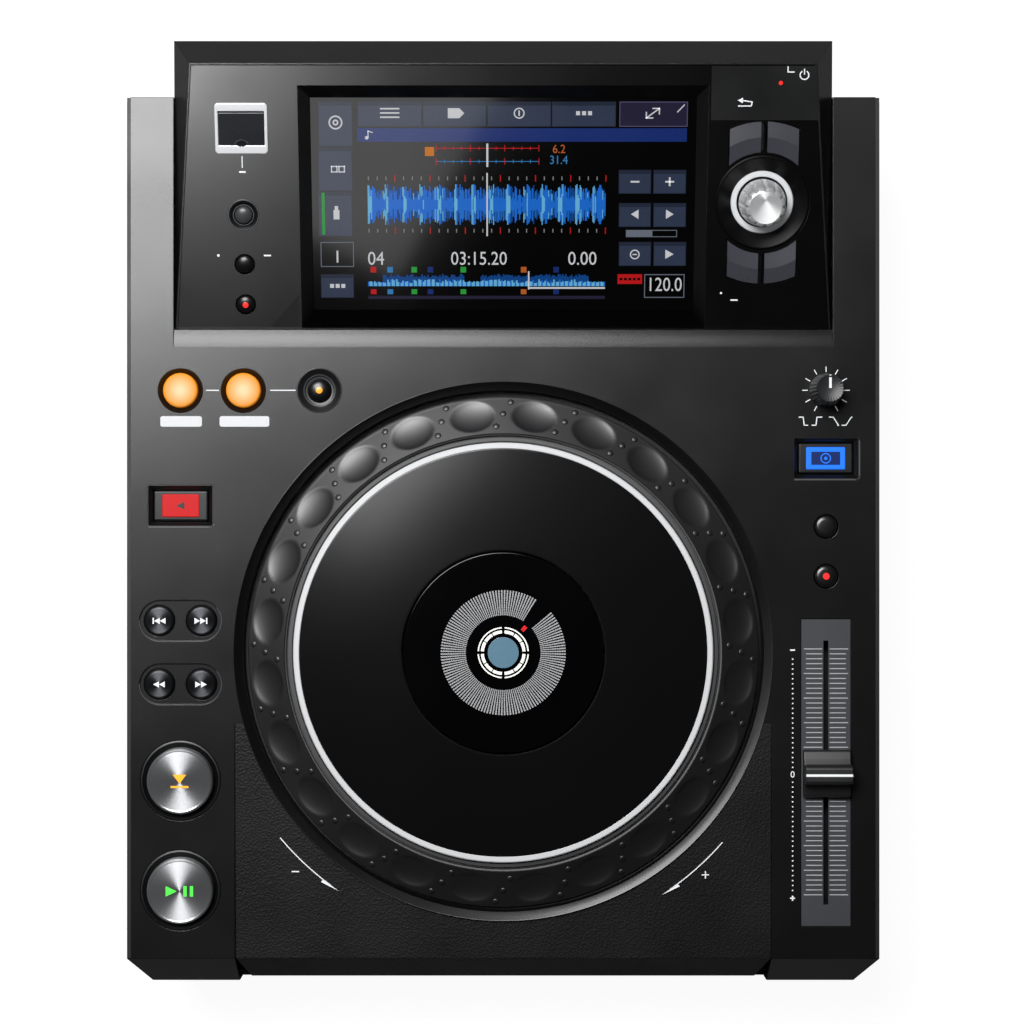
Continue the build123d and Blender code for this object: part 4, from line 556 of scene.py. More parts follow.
class CaseSettings(bpy.types.PropertyGroup):
    deck_colour: colour_setting("Deck colour", "Moulded plastic of the deck", paint(12, 12, 13))
    deck_roughness: bpy.props.FloatProperty(
        name="Deck roughness", description="How dull the deck is", default=0.255, min=0.0, max=1.0,
        subtype="FACTOR",
    )
    housing_colour: colour_setting("Housing colour", "Moulded plastic round the display", paint(11, 10, 10))
    mark_width: length_setting("Mark width", "Width of the printed lines", 0.5 * MM)


class JogSettings(bpy.types.PropertyGroup):
    outer_radius: length_setting("Dial radius", "Outer edge of the dial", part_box("jog_dial")[1].x)
    inner_radius: length_setting("Rim radius", "Inner end of the dial's sloping face", 88.0 * MM)
    dimples: count_setting("Dimples", "Finger dimples round the dial", 24, 3)
    dimple_depth: length_setting("Dimple depth", "Depth of a dimple's middle", 1.35 * MM)
    bumps: count_setting("Bumps", "Small bumps on each land between dimples", 3, 0)
    plate_radius: length_setting("Top plate radius", "Outer edge of the touch plate", 82.0 * MM)
    bars: count_setting("Bars", "Bars round the centre display", 132, 8)
    accent_colour: colour_setting("Accent colour", "Ring round the touch plate", paint(215, 216, 218))
    centre_colour: colour_setting("Centre colour", "Disc in the centre display", paint(88, 122, 142))


class ControlSettings(bpy.types.PropertyGroup):
    cue_colour: colour_setting("Cue light", "Sign on the cue button", paint(238, 158, 36))
    play_colour: colour_setting("Play light", "Sign on the play button", paint(70, 214, 66))
    loop_core: colour_setting("Loop light", "Middle of the lit loop buttons", paint(236, 206, 162))
    loop_rim: colour_setting("Loop rim", "Rim of the lit loop buttons", paint(238, 144, 30))
    reverse_colour: colour_setting("Direction light", "Lens of the direction key", paint(202, 34, 36))
    mode_colour: colour_setting("Mode light", "Lens of the jog-mode key", paint(30, 106, 228))
    ticks: count_setting("Tempo ticks", "Marks along the tempo slider", 51, 3)
    flutes: count_setting("Flutes", "Grooves round the speed knob and the selector", 12, 6)


class ScreenSettings(bpy.types.PropertyGroup):
    tab_colour: colour_setting("Tab colour", "Touch tabs on the screen", paint(58, 68, 92))
    wave_colour: colour_setting("Wave colour", "The scrolling waveform", paint(34, 118, 224))
    glow: level_setting("Screen glow", "Brightness of what the screen shows", 0.56)


# Pieces

class PLAYER_OT_stage(bpy.types.Operator):
    """Add the floor, the surroundings, the lamps and the camera"""

    bl_idname = "player.stage"
    bl_label = "Stage"

    def execute(self, context):
        sizes = context.scene.player_stage
        floor = bmesh.new()
        bmesh.ops.create_grid(floor, x_segments=2, y_segments=2, size=sizes.floor_size / 2)
        bmesh.ops.translate(floor, vec=(0, 0, GROUND), verts=floor.verts)
        mesh = bpy.data.meshes.new("floor")
        floor.to_mesh(mesh)
        floor.free()
        mesh.materials.append(self.floor_finish(sizes))
        thing = bpy.data.objects.new("floor", mesh)
        context.collection.objects.link(thing)
        self.surround(context, sizes)
        for row in LAMPS:
            self.lamp(context, sizes, *row)
        # The dial doesn't shade the ring from the ring's own lamp
        bpy.data.objects["well_lamp"].light_linking.blocker_collection = bpy.data.collections["well_block"]
        camera = bpy.data.cameras.new("camera")
        camera.lens = sizes.lens
        camera.shift_x = sizes.shift_x
        camera.shift_y = sizes.shift_y
        camera.clip_start = 0.05
        holder = bpy.data.objects.new("camera", camera)
        holder.location = (0.0, sizes.camera_forward, sizes.camera_height)
        context.collection.objects.link(holder)
        context.scene.camera = holder
        context.scene.view_settings.view_transform = "Standard"
        return {"FINISHED"}

    def floor_finish(self, sizes):
        """A pale table top that stays white to the eye and keeps the player's shadow."""
        material = finish("table_top", sizes.floor_colour, rough=0.8, relief=0.05, shade=0.01)
        tree = material.node_tree
        rays = add_node(tree, "LightPath", {}).outputs["Is Camera Ray"]
        lift = add_node(tree, "Math", {0: rays, 1: 0.95}, operation="MULTIPLY").outputs[0]
        light = add_node(tree, "Emission", {"Strength": lift}).outputs["Emission"]
        table = tree.nodes["Principled BSDF"].outputs["BSDF"]
        both = add_node(tree, "AddShader", {0: table, 1: light})
        wire(tree, tree.nodes["Material Output"], {"Surface": both.outputs["Shader"]})
        return material

    def surround(self, context, sizes):
        """A plain surround, paler round the horizon and dark overhead."""
        world = context.scene.world = bpy.data.worlds.new("surround")
        world.use_nodes = True
        tree = world.node_tree
        way = add_node(tree, "TexCoord", {}).outputs["Generated"]
        height = add_node(tree, "SeparateXYZ", {"Vector": way}).outputs["Z"]
        span = {"From Min": 0.0, "From Max": 0.2, "To Min": sizes.horizon_level, "To Max": sizes.world_level}
        level = add_node(tree, "MapRange", {**span, "Value": height}).outputs["Result"]
        wire(tree, tree.nodes["Background"], {"Strength": level, "Color": (1, 1, 1, 1)})

    def lamp(self, context, sizes, name, place, size, turn, nodes):
        """A soft lamp aimed at the player, or facing straight down, with what it lights or leaves out."""
        light = bpy.data.lights.new(name + "_lamp", "AREA")
        light.shape = "RECTANGLE"
        light.size, light.size_y = size
        light.energy = getattr(sizes, name + "_power")
        holder = bpy.data.objects.new(name + "_lamp", light)
        holder.location = place
        aim = Vector((0.0, 0.0, 0.08)) - Vector(place)
        holder.rotation_euler = aim.to_track_quat("-Z", "Y").to_euler()
        if turn is not None:
            holder.rotation_euler = (0.0, 0.0, math.radians(turn))
        holder.visible_camera = False
        context.collection.objects.link(holder)
        group = bpy.data.collections.new(name + "_block")
        for node in nodes:
            group.objects.link(frame["nodes"][node])
        for member in group.collection_objects:
            member.light_linking.link_state = "EXCLUDE" if name == "main" else "INCLUDE"
        holder.light_linking.receiver_collection = group


class PLAYER_OT_case(bpy.types.Operator):
    """Finish the case, its apron, its display housing, its feet and its screws"""

    bl_idname = "player.case"
    bl_label = "Case"

    def execute(self, context):
        look = context.scene.player_case
        deck = finish("deck_plastic", look.deck_colour, rough=look.deck_roughness, spread=0.02, edges=0.5)
        leather = finish(
            "apron_leather_grain", look.deck_colour, rough=0.42, gloss=0.3, grain=1100.0, relief=0.8,
            depth=0.0001, cells=True, edges=0.4,
        )
        dress(deck, "upper_case")
        dress(leather, "front_apron")
        dress(finish("base_plastic", paint(24, 24, 26), rough=0.55, edges=0.5), "lower_case")
        housing = finish("housing_plastic", look.housing_colour, rough=0.3, spread=0.03, edges=0.5)
        dress(housing, "display_housing")
        dress(finish("foot_rubber", paint(34, 34, 34), rough=0.85, grain=700.0, relief=0.5), "feet")
        dress(finish("screw_zinc", paint(120, 122, 124), rough=0.35, metal=0.9), "case_screws")
        dress(finish("rear_steel", paint(28, 28, 30), rough=0.5, grain=2200.0, edges=0.3), "rear_panel")
        self.trim()
        return {"FINISHED"}

    def trim(self):
        """The grained strip in front of the display block, and dark strips along the deck's side edges that
        are painted shade of their rounded edges.
        """
        piece = bmesh.new()
        outline = [
            (68.25, DECK - 0.03), (70.0, DECK - 0.13), (71.75, DECK - 0.34), (73.5, DECK - 0.66),
            (75.25, DECK - 1.1), (75.25, DECK - 5.6),
        ]
        half_length = 133.9
        lying(piece, outline, -half_length, half_length)
        # Dark strips along the deck's left and right edges: painted shade where the edges round over
        side, inset, front, back = 152.9, 1.5, -180.2, 169.5
        for left in (-side, side - inset):
            slab(piece, left, left + inset, front, back, DECK - 0.5, DECK + 0.03, 1)
        grain = finish(
            "strip_grain", paint(10, 10, 11), rough=0.24, gloss=0.38, spread=0.003, grain=2200.0, relief=0.5,
            depth=0.00006, cells=True,
        )
        dull = finish("edge_dull", paint(9, 9, 10), rough=0.5)
        settle("deck_trim", piece, [grain, dull], "chassis")


class PLAYER_OT_jog_dial(bpy.types.Operator):
    """Add the turning dial with its finger dimples and small bumps"""

    bl_idname = "player.jog_dial"
    bl_label = "Jog Dial"

    def execute(self, context):
        jog = context.scene.player_jog
        x, y = seat("jog_well_ring")
        outer = jog.outer_radius / MM
        inner = jog.inner_radius / MM
        rim_z = DECK + 11.0
        edge_z = DECK + 2.3
        slope = (rim_z - edge_z) / (outer - inner)
        rows = 30
        crown = inner + DIAL_LIP
        face = [(crown, rim_z)]
        for i in range(1, rows):
            radius = crown + (outer - inner - 3 * DIAL_LIP) * i / rows
            face.append((radius, rim_z - slope * (radius - crown)))
        edge = face[-1][1]
        outline = [
            (81.0, 93.0), (84.9, 93.0), (85.1, 93.9), (inner - 1.6, 93.9), (inner - 1.5, 92.2),
            (inner - 0.7, 92.2), (inner - 0.6, 94.0), (inner, 94.1), (inner, rim_z - 0.25), *face,
            (outer - 0.2, edge - 0.35), (outer, edge - 0.8), (outer, DECK - 5.0), (outer - 3.0, DECK - 5.0),
            (outer - 3.0, edge - 4.4), (inner + 2.0, rim_z - 3.0), (81.0, 91.7),
        ]
        piece = bmesh.new()
        turned(piece, outline, 720)
        self.press_dimples(piece, jog, inner, outer)
        self.add_bumps(piece, jog, inner, rim_z, slope)
        bmesh.ops.translate(piece, vec=(x, y, 0), verts=piece.verts)
        skin = finish(
            "dial_plastic", paint(8, 8, 9), rough=0.47, spread=0.03, gloss=0.62, grain=2600.0, relief=0.12
        )
        ring = settle("jog_dial_ring", piece, [skin], "jog_dial", ["jog_dial"], soft=50.0)
        tie(ring, "dial")
        dress(finish("race_steel", paint(150, 152, 155), rough=0.3, metal=1.0), "bearing_race", "jog_bearing")
        dress(finish("encoder_film", paint(60, 60, 62), rough=0.3, coat=0.3), "encoder_disc")
        dress(finish("sensor_plastic", paint(26, 26, 28), rough=0.4), "encoder_sensor")
        dress(finish("pan_plastic", paint(24, 24, 25), rough=0.5), "jog_base")
        return {"FINISHED"}

    def press_dimples(self, piece, jog, inner, outer):
        """Pushes an oval hollow into the sloping face at each dimple."""
        depth = jog.dimple_depth / MM
        middle = (inner + outer) / 2
        face_low = 86.0
        half_long, half_wide = 8.9, 6.1
        step = 360.0 / jog.dimples
        for vert in piece.verts:
            radius = math.hypot(vert.co.x, vert.co.y)
            if vert.co.z < face_low or not inner + 0.1 < radius < outer - 0.4:
                continue
            angle = math.degrees(math.atan2(vert.co.y, vert.co.x))
            off = (angle - step / 2 + 180.0) % step
            off = min(off, step - off)
            along = math.radians(off) * middle / half_long
            across = (radius - middle) / half_wide
            share = along * along + across * across
            if share < 1.0:
                hollow = depth * (1 - share) ** 0.75
                vert.co.x -= vert.co.x / radius * math.sin(DIAL_SLOPE) * hollow
                vert.co.y -= vert.co.y / radius * math.sin(DIAL_SLOPE) * hollow
                vert.co.z -= math.cos(DIAL_SLOPE) * hollow

    def add_bumps(self, piece, jog, inner, rim_z, slope):
        """Small domes on the lands between the dimples."""
        for i in range(jog.dimples):
            for radius, offset in ((91.2, 1.75), (96.3, 0.0), (101.2, -1.75))[: jog.bumps]:
                part = bmesh.new()
                bmesh.ops.create_icosphere(part, subdivisions=2, radius=1.0)
                turn = Matrix.Rotation(math.radians(i * 360.0 / jog.dimples + offset), 4, "Z")
                up = Matrix.Translation((radius, 0, rim_z - slope * (radius - inner - DIAL_LIP)))
                flat = Matrix.Rotation(DIAL_SLOPE, 4, "Y") @ Matrix.Diagonal((1.35, 1.35, 0.5, 1))
                merge_in(piece, part, turn @ up @ flat)


class PLAYER_OT_jog_well(bpy.types.Operator):
    """Add the glossy ring round the jog wheel"""

    bl_idname = "player.jog_well"
    bl_label = "Jog Well"

    def execute(self, context):
        x, y = seat("jog_well_ring")
        piece = bmesh.new()
        outline = [
            (109.66, DECK - 0.6), (109.66, DECK + 0.33), (109.56, DECK + 0.4), (109.4, DECK + 0.35),
            (106.2, DECK - 1.6), (105.9, 75.9), (105.72, 75.7), (105.72, 73.8), (106.9, 73.8),
            (108.0, DECK - 2.2),
        ]
        turned(piece, braced(outline, 0.12), 256, x, y)
        skin = finish("well_gloss", paint(3, 3, 4), rough=0.32, relief=0.03, spread=0.02)
        liner = settle("jog_well_liner", piece, [skin], "chassis", ["jog_well_ring"])
        tie(liner, "well")
        floor = bmesh.new()
        turned(floor, [(105.6, 73.75), (105.6, 73.95), (60.0, 73.95), (60.0, 73.75)], 128, x, y)
        dull = finish("well_floor", paint(16, 16, 17), rough=0.5)
        settle("jog_well_floor", floor, [dull], "chassis")
        return {"FINISHED"}


class PLAYER_OT_jog_plate(bpy.types.Operator):
    """Add the pressed touch plate and the bright ring round it"""

    bl_idname = "player.jog_plate"
    bl_label = "Jog Plate"

    def execute(self, context):
        jog = context.scene.player_jog
        x, y = seat("jog_well_ring")
        outer = jog.plate_radius / MM
        top = crest("jog_top_plate")
        plate = bmesh.new()
        outline = [
            (41.0, top - 2.2), (41.0, top - 0.3), (41.25, top - 0.04), (41.7, top), (outer - 0.3, top),
            (outer, top - 0.15), (outer, top - 2.2),
        ]
        turned(plate, outline, 256, x, y)
        turned(plate, [(outer, 92.75), (84.4, 92.75), (84.4, 93.45), (outer, 93.45)], 128, x, y)
        skin = finish("plate_gloss", paint(8, 8, 9), rough=0.14, grain=3500.0, relief=0.06, spread=0.005)
        touch = settle("jog_touch_plate", plate, [skin], "jog_top_plate", ["jog_top_plate"])
        tie(touch, "plate")
        accent = bmesh.new()
        outline = [
            (outer + 0.08, 93.55), (outer + 0.08, top - 0.25), (outer + 0.3, top - 0.02), (84.0, top - 0.05),
            (84.42, top - 0.45), (84.42, 93.55),
        ]
        turned(accent, outline, 256, x, y)
        silver = finish("accent_silver", jog.accent_colour, rough=0.35, coat=0.1, relief=0.05, shade=0.03)
        settle("jog_accent", accent, [silver], "jog_top_plate", ["jog_accent_ring"])
        return {"FINISHED"}


class PLAYER_OT_centre_display(bpy.types.Operator):
    """Add what the round centre display shows"""

    bl_idname = "player.centre_display"
    bl_label = "Centre Display"

    def execute(self, context):
        jog = context.scene.player_jog
        x, y = seat("center_display")
        top = crest("center_display")
        glass = finish("centre_glass", paint(2, 2, 3), rough=0.12, gloss=0.35, relief=0.01, spread=0.02)
        dress(glass, "center_display")
        lens = bmesh.new()
        face, foot = top + 0.05, top - 0.6
        outline = [(0.0, face), (39.9, face), (40.3, top - 0.25), (40.3, foot), (0.0, foot)]
        turned(lens, outline, 160, x, y)
        settle("centre_lens", lens, [glass], "chassis")
        low, high = top + 0.06, top + 0.1
        show = bmesh.new()
        middle = (low + high) / 2
        self.bars(show, jog.bars, Matrix.Translation((x, y, middle)), high - low)
        white = Pen(show, low, 1, high)
        for quarter in range(4):
            start = 90 * quarter + 3.5
            white.ring(x, y, 9.75, 10.3, 20, start, 83.0)
            for third in range(3):
                white.ring(x, y, 7.75, 9.0, 8, start + 28.6 * third, 25.8)
        turned(show, [(0.0, high), (6.1, high), (6.23, low), (0.0, low)], 64, x, y, 2)
        mark = Matrix.Translation((x + 8.35, y + 9.65, middle)) @ Matrix.Rotation(math.radians(49.5), 4, "Z")
        for nudge in (-0.42, 0.42):
            tile(show, mark @ Matrix.Translation((0, nudge, 0)), (2.3, 0.62, high - low), 3)
        skins = [
            finish("bar_white", paint(164, 165, 167), rough=0.3, glow=0.2, relief=0.02, shade=0.05),
            finish("ring_white", paint(236, 236, 230), rough=0.3, glow=0.4, relief=0.02, shade=0.02),
            finish("disc_blue", jog.centre_colour, rough=0.3, glow=0.15, relief=0.02, shade=0.06),
            finish("mark_red", paint(206, 24, 34), rough=0.3, glow=0.7, relief=0.02, shade=0.05),
        ]
        settle("centre_graphics", show, skins, "chassis")
        return {"FINISHED"}

    def bars(self, show, count, middle, thick):
        """Dashed bars all round, with a gap at the upper right."""
        gap_start, gap_end = 40.5, 58.5
        dashes, first, pitch, length = 11, 15.1, 0.925, 0.84
        for i in range(count):
            angle = 90.0 - (i + 0.5) * 360.0 / count
            if gap_start < angle % 360.0 < gap_end:
                continue
            turn = middle @ Matrix.Rotation(math.radians(angle), 4, "Z")
            for k in range(dashes):
                inner = first + k * pitch
                width = 0.024 * (inner + 0.4)
                tile(show, turn @ Matrix.Translation((inner + 0.36, 0, 0)), (length, width, thick))


class PLAYER_OT_transport(bpy.types.Operator):
    """Add the cue and play buttons and the rings round them"""

    bl_idname = "player.transport"
    bl_label = "Cue and Play"

    def execute(self, context):
        look = context.scene.player_controls
        rings = bmesh.new()
        top = DECK + 3.0
        face = top - 0.15
        outline = [
            (0.0, face), (12.0, face), (12.35, top), (12.6, top), (13.15, top - 0.45), (13.4, top - 1.0),
        ]
        bezel = [
            (16.28, DECK + 0.02), (16.0, DECK + 0.18), (15.5, DECK + 0.2), (13.72, DECK - 1.6),
            (13.72, DECK - 4.0), (16.28, DECK - 4.0),
        ]
        for word, sign, colour in (
            ("cue", self.cue_sign, look.cue_colour), ("play", self.play_sign, look.play_colour),
        ):
            node = word + "_button"
            x, y = seat(node)
            cap = round_cap(outline, x, y, 160, tight=True)
            metal = finish(
                node + "_spun_metal", paint(178, 180, 182), rough=0.32, metal=0.9, spun=0.85, relief=0.12,
                depth=0.00002, centre=(x * MM, y * MM, top * MM), shade=0.06,
            )
            light = finish(word + "_light", colour, rough=0.35, glow=0.9, relief=0.02, shade=0.05)
            sign(Pen(cap, face, 1), x, y)
            settle(node + "_cap", cap, [metal, light], node, [node], level=False)
            turned(rings, bezel, 128, x, y)
        gloss = finish("ring_gloss", paint(8, 8, 9), rough=0.36, relief=0.03, spread=0.03)
        settle("transport_bezels", rings, [gloss], "chassis", ["transport_rings"])
        return {"FINISHED"}

    def cue_sign(self, pen, x, y):
        """A pointer over a bar, the sign for a set point."""
        pen.shape((x - 2.7, y + 2.7), (x, y - 1.0), (x + 2.7, y + 2.7))
        pen.bar(x - 3.6, x + 3.6, y - 2.7, y - 1.9)

    def play_sign(self, pen, x, y):
        """A pointer and two bars, the sign for play and pause."""
        pen.shape((x - 5.6, y - 2.1), (x - 1.2, y), (x - 5.6, y + 2.1))
        for left in (x + 1.6, x + 4.2):
            pen.bar(left, left + 1.3, y - 2.1, y + 2.1)


class PLAYER_OT_loop_buttons(bpy.types.Operator):
    """Add the lit loop buttons, the reloop dome and their recesses"""

    bl_idname = "player.loop_buttons"
    bl_label = "Loop Buttons"

    def execute(self, context):
        look = context.scene.player_controls
        rims = bmesh.new()
        top = DECK + 0.8
        outline = [(0.0, top), (5.9, top - 0.05), (6.6, top - 0.25), (7.0, top - 0.7), (7.1, top - 1.2)]
        rim = [(9.25, DECK + 0.04), (8.95, DECK + 0.14)]
        bowl = [(8.75, DECK + 0.02), (7.45, DECK - 1.45), (7.45, DECK - 1.9), (9.25, DECK - 0.1)]
        for node in ("loop_in_button", "loop_out_button"):
            x, y = seat(node)
            cap = round_cap(outline, x, y, 96)
            light = lit_cap(node + "_light", (x, y, top), 7.3, look.loop_core, look.loop_rim)
            settle(node + "_cap", cap, [light], node, [node])
            turned(rims, rim + bowl, 96, x, y)
        node = "reloop_button"
        x, y = seat(node)
        bowl = [
            (8.7, DECK + 0.02), (6.3, DECK - 1.5), (5.05, DECK - 1.5), (5.05, DECK - 2.0), (6.3, DECK - 2.0),
            (9.25, DECK - 0.1),
        ]
        turned(rims, rim + bowl, 96, x, y, 1)
        floor = DECK - 1.5
        # Two thin pale rings in the reloop recess: a painted highlight of its edges
        for inner, first, second in ((6.25, floor + 0.15, floor + 0.2), (8.8, DECK + 0.1, DECK + 0.1)):
            ridge = [(inner, floor), (inner, first), (inner + 0.2, second), (inner + 0.2, floor)]
            turned(rims, ridge, 96, x, y, 2)
        recess = finish("recess_gloss", paint(20, 15, 12), rough=0.3, coat=0.1, relief=0.04)
        satin = finish("recess_satin", paint(20, 20, 22), rough=0.35, relief=0.08)
        settle("loop_recesses", rims, [recess, satin, recess_line()], "chassis")
        top = DECK + 1.2
        cap = round_cap(dome(4.7, top, 1.9), x, y, 64)
        turned(cap, [(0.0, top + 0.05), (1.0, top + 0.02), (1.5, top - 0.14), (0.0, top - 0.14)], 32, x, y, 1)
        ember = finish("dome_orange", paint(240, 140, 30), rough=0.3, glow=0.9, relief=0.02, shade=0.08)
        settle(node + "_cap", cap, [dome_gloss(), ember], node, [node])
        return {"FINISHED"}


class PLAYER_OT_skip_buttons(bpy.types.Operator):
    """Add the search and track buttons with their signs"""

    bl_idname = "player.skip_buttons"
    bl_label = "Search and Track"

    def execute(self, context):
        top = DECK + 1.2
        outline = [(0.0, top), (5.1, top - 0.05), (5.6, top - 0.3), (6.1, top - 1.05)]
        gloss = finish("skip_metal", paint(62, 63, 66), rough=0.3, metal=0.95, spun=0.85, relief=0.04)
        length, half = 2.35, 1.25  # the size of a pointer
        for node, way, stop in (
            ("track_prev_button", -1, True), ("track_next_button", 1, True),
            ("search_back_button", -1, False), ("search_forward_button", 1, False),
        ):
            x, y = seat(node)
            cap = round_cap(outline, x, y, 96, tight=True)
            pen = Pen(cap, top - 0.02, 1, top + PRINT)
            shift = x - 0.35 * way if stop else x
            for near in (-length, 0.0):
                a, b = (near, near + length) if way > 0 else (near + length, near)
                pen.shape((shift + a, y - half), (shift + b, y), (shift + a, y + half))
            if stop:
                edge = shift + way * 2.65
                pen.bar(edge - 0.28, edge + 0.28, y - half, y + half)
            settle(node + "_cap", cap, [gloss, print_white()], node, [node], level=False)
        rims = bmesh.new()
        x = (seat("search_back_button")[0] + seat("search_forward_button")[0]) / 2
        for node in ("search_back_button", "track_prev_button"):
            self.pill_rim(Pen(rims, DECK - 0.3, 0, DECK + 0.03), x, seat(node)[1])
        # Pale only at the lower right: a painted highlight of the recess's edge
        pale = finish("pill_rim", paint(70, 72, 75), rough=0.35, relief=0.08)
        settle("skip_pill_rims", rims, [pale], "chassis")
        return {"FINISHED"}

    def pill_rim(self, pen, x, y):
        """A pale line along the lower right edge of the shallow recess round a pair of buttons, a painted
        highlight of that edge.
        """
        reach, inner, outer = 8.3, 8.28, 8.5
        pen.ring(x + reach, y, inner, outer, 24, -90.0, 130.0)
        pen.ring(x - reach, y, inner, outer, 24, 180.0, 90.0)
        pen.bar(x - reach, x + reach, y - outer, y - inner)


class PLAYER_OT_keys(bpy.types.Operator):
    """Add the direction key and the jog-mode key"""

    bl_idname = "player.keys"
    bl_label = "Direction and Jog Mode"

    def execute(self, context):
        look = context.scene.player_controls
        top = DECK - 1.4
        foot = DECK - 5.0
        red = finish(
            "reverse_lens", look.reverse_colour, rough=0.5, glow=0.06, gloss=0.15, relief=0.03, shade=0.08
        )
        dark = finish("key_gloss", paint(24, 25, 27), rough=0.34, gloss=0.4, relief=0.05)
        blue = finish("mode_lens", look.mode_colour, rough=0.4, gloss=0.2, glow=0.6, relief=0.03, shade=0.08)
        inner = finish("mode_inner", paint(16, 38, 92), rough=0.4, gloss=0.2, glow=0.2, relief=0.03)
        wells = bmesh.new()
        # The lenses' half width, half depth, height and bevel
        one_lens = ((7.6, 4.7, 0.45, 0.5),)
        two_lenses = ((8.0, 4.6, 0.4, 0.5), (6.0, 2.8, 0.46, 0.3))
        for node, slot, skins, lenses in (
            ("reverse_button", "reverse_red", [dark, red, red], one_lens),
            ("jog_mode_button", "mode_blue", [dark, blue, inner], two_lenses),
        ):
            x, y = seat(node)
            key = bmesh.new()
            slab(key, x - 11.0, x + 11.0, y - 6.1, y + 6.1, foot, top, bevel=0.7)
            stem(key, x, y, BOARD, foot)
            for skin, (half_x, half_y, rise, bevel) in enumerate(lenses, 1):
                slab(key, x - half_x, x + half_x, y - half_y, y + half_y, top - 0.5, top + rise, skin, bevel)
            if node == "reverse_button":
                Pen(key, top + 0.44).shape((x + 1.5, y - 1.6), (x + 1.5, y + 1.6), (x - 1.7, y))
            else:
                pen = Pen(key, top + 0.44, 1)
                pen.ring(x, y, 1.7, 2.15, 32, sweep=360.0)
                pen.dot(x, y, 0.7, 16)
            settle(node + "_key", key, skins, node, [node])
            self.mouth(wells, x, y, node == "jog_mode_button")
        well = finish("key_well", paint(20, 20, 22), rough=0.3, coat=0.5, relief=0.05)
        # The paler line at each key's lower right edge: a painted highlight
        lip = finish("key_lip", paint(74, 75, 77), rough=0.4, relief=0.05)
        settle("key_wells", wells, [well, lip], "chassis")
        return {"FINISHED"}

    def mouth(self, wells, x, y, tall):
        """A thin glossy lip along the bevelled mouth of a key, and a paler line along its lower right edge, a
        painted highlight.
        """
        for x0, x1, y0, y1 in (
            (-13.3, 13.3, -8.4, -8.15), (-13.3, 13.3, 8.15, 8.4), (-13.3, -13.05, -8.15, 8.15),
            (13.05, 13.3, -8.15, 8.15),
        ):
            slab(wells, x + x0, x + x1, y + y0, y + y1, DECK - 0.2, DECK + 0.04)
        path = [(x - 12.6, y - 8.7), (x + 12.4, y - 8.7), (x + 13.2, y - 8.4), (x + 13.6, y - 7.6)]
        if tall:
            path.append((x + 13.6, y + 7.0))
        Pen(wells, DECK - 0.05, 1, DECK + 0.045).line(0.55, *path)


class PLAYER_OT_dot_buttons(bpy.types.Operator):
    """Add the tempo-range and master-tempo buttons"""

    bl_idname = "player.dot_buttons"
    bl_label = "Tempo Buttons"

    def execute(self, context):
        gloss = finish("skip_gloss", paint(15, 15, 17), rough=0.26, coat=0.15, relief=0.04)
        top = DECK + 0.8
        outline = [(0.0, top), (2.6, top - 0.03), (3.8, top - 0.2), (4.5, top - 0.65), (4.7, top - 1.2)]
        for node in ("tempo_range_button", "master_tempo_button"):
            x, y = seat(node)
            cap = round_cap(outline, x, y, 80)
            if node == "master_tempo_button":
                lens = [(0.0, top + 0.06), (1.3, top + 0.03), (1.45, top - 0.1), (0.0, top - 0.1)]
                turned(cap, lens, 32, x, y, 1)
            settle(node + "_cap", cap, [gloss, dot_red()], node, [node])
        return {"FINISHED"}


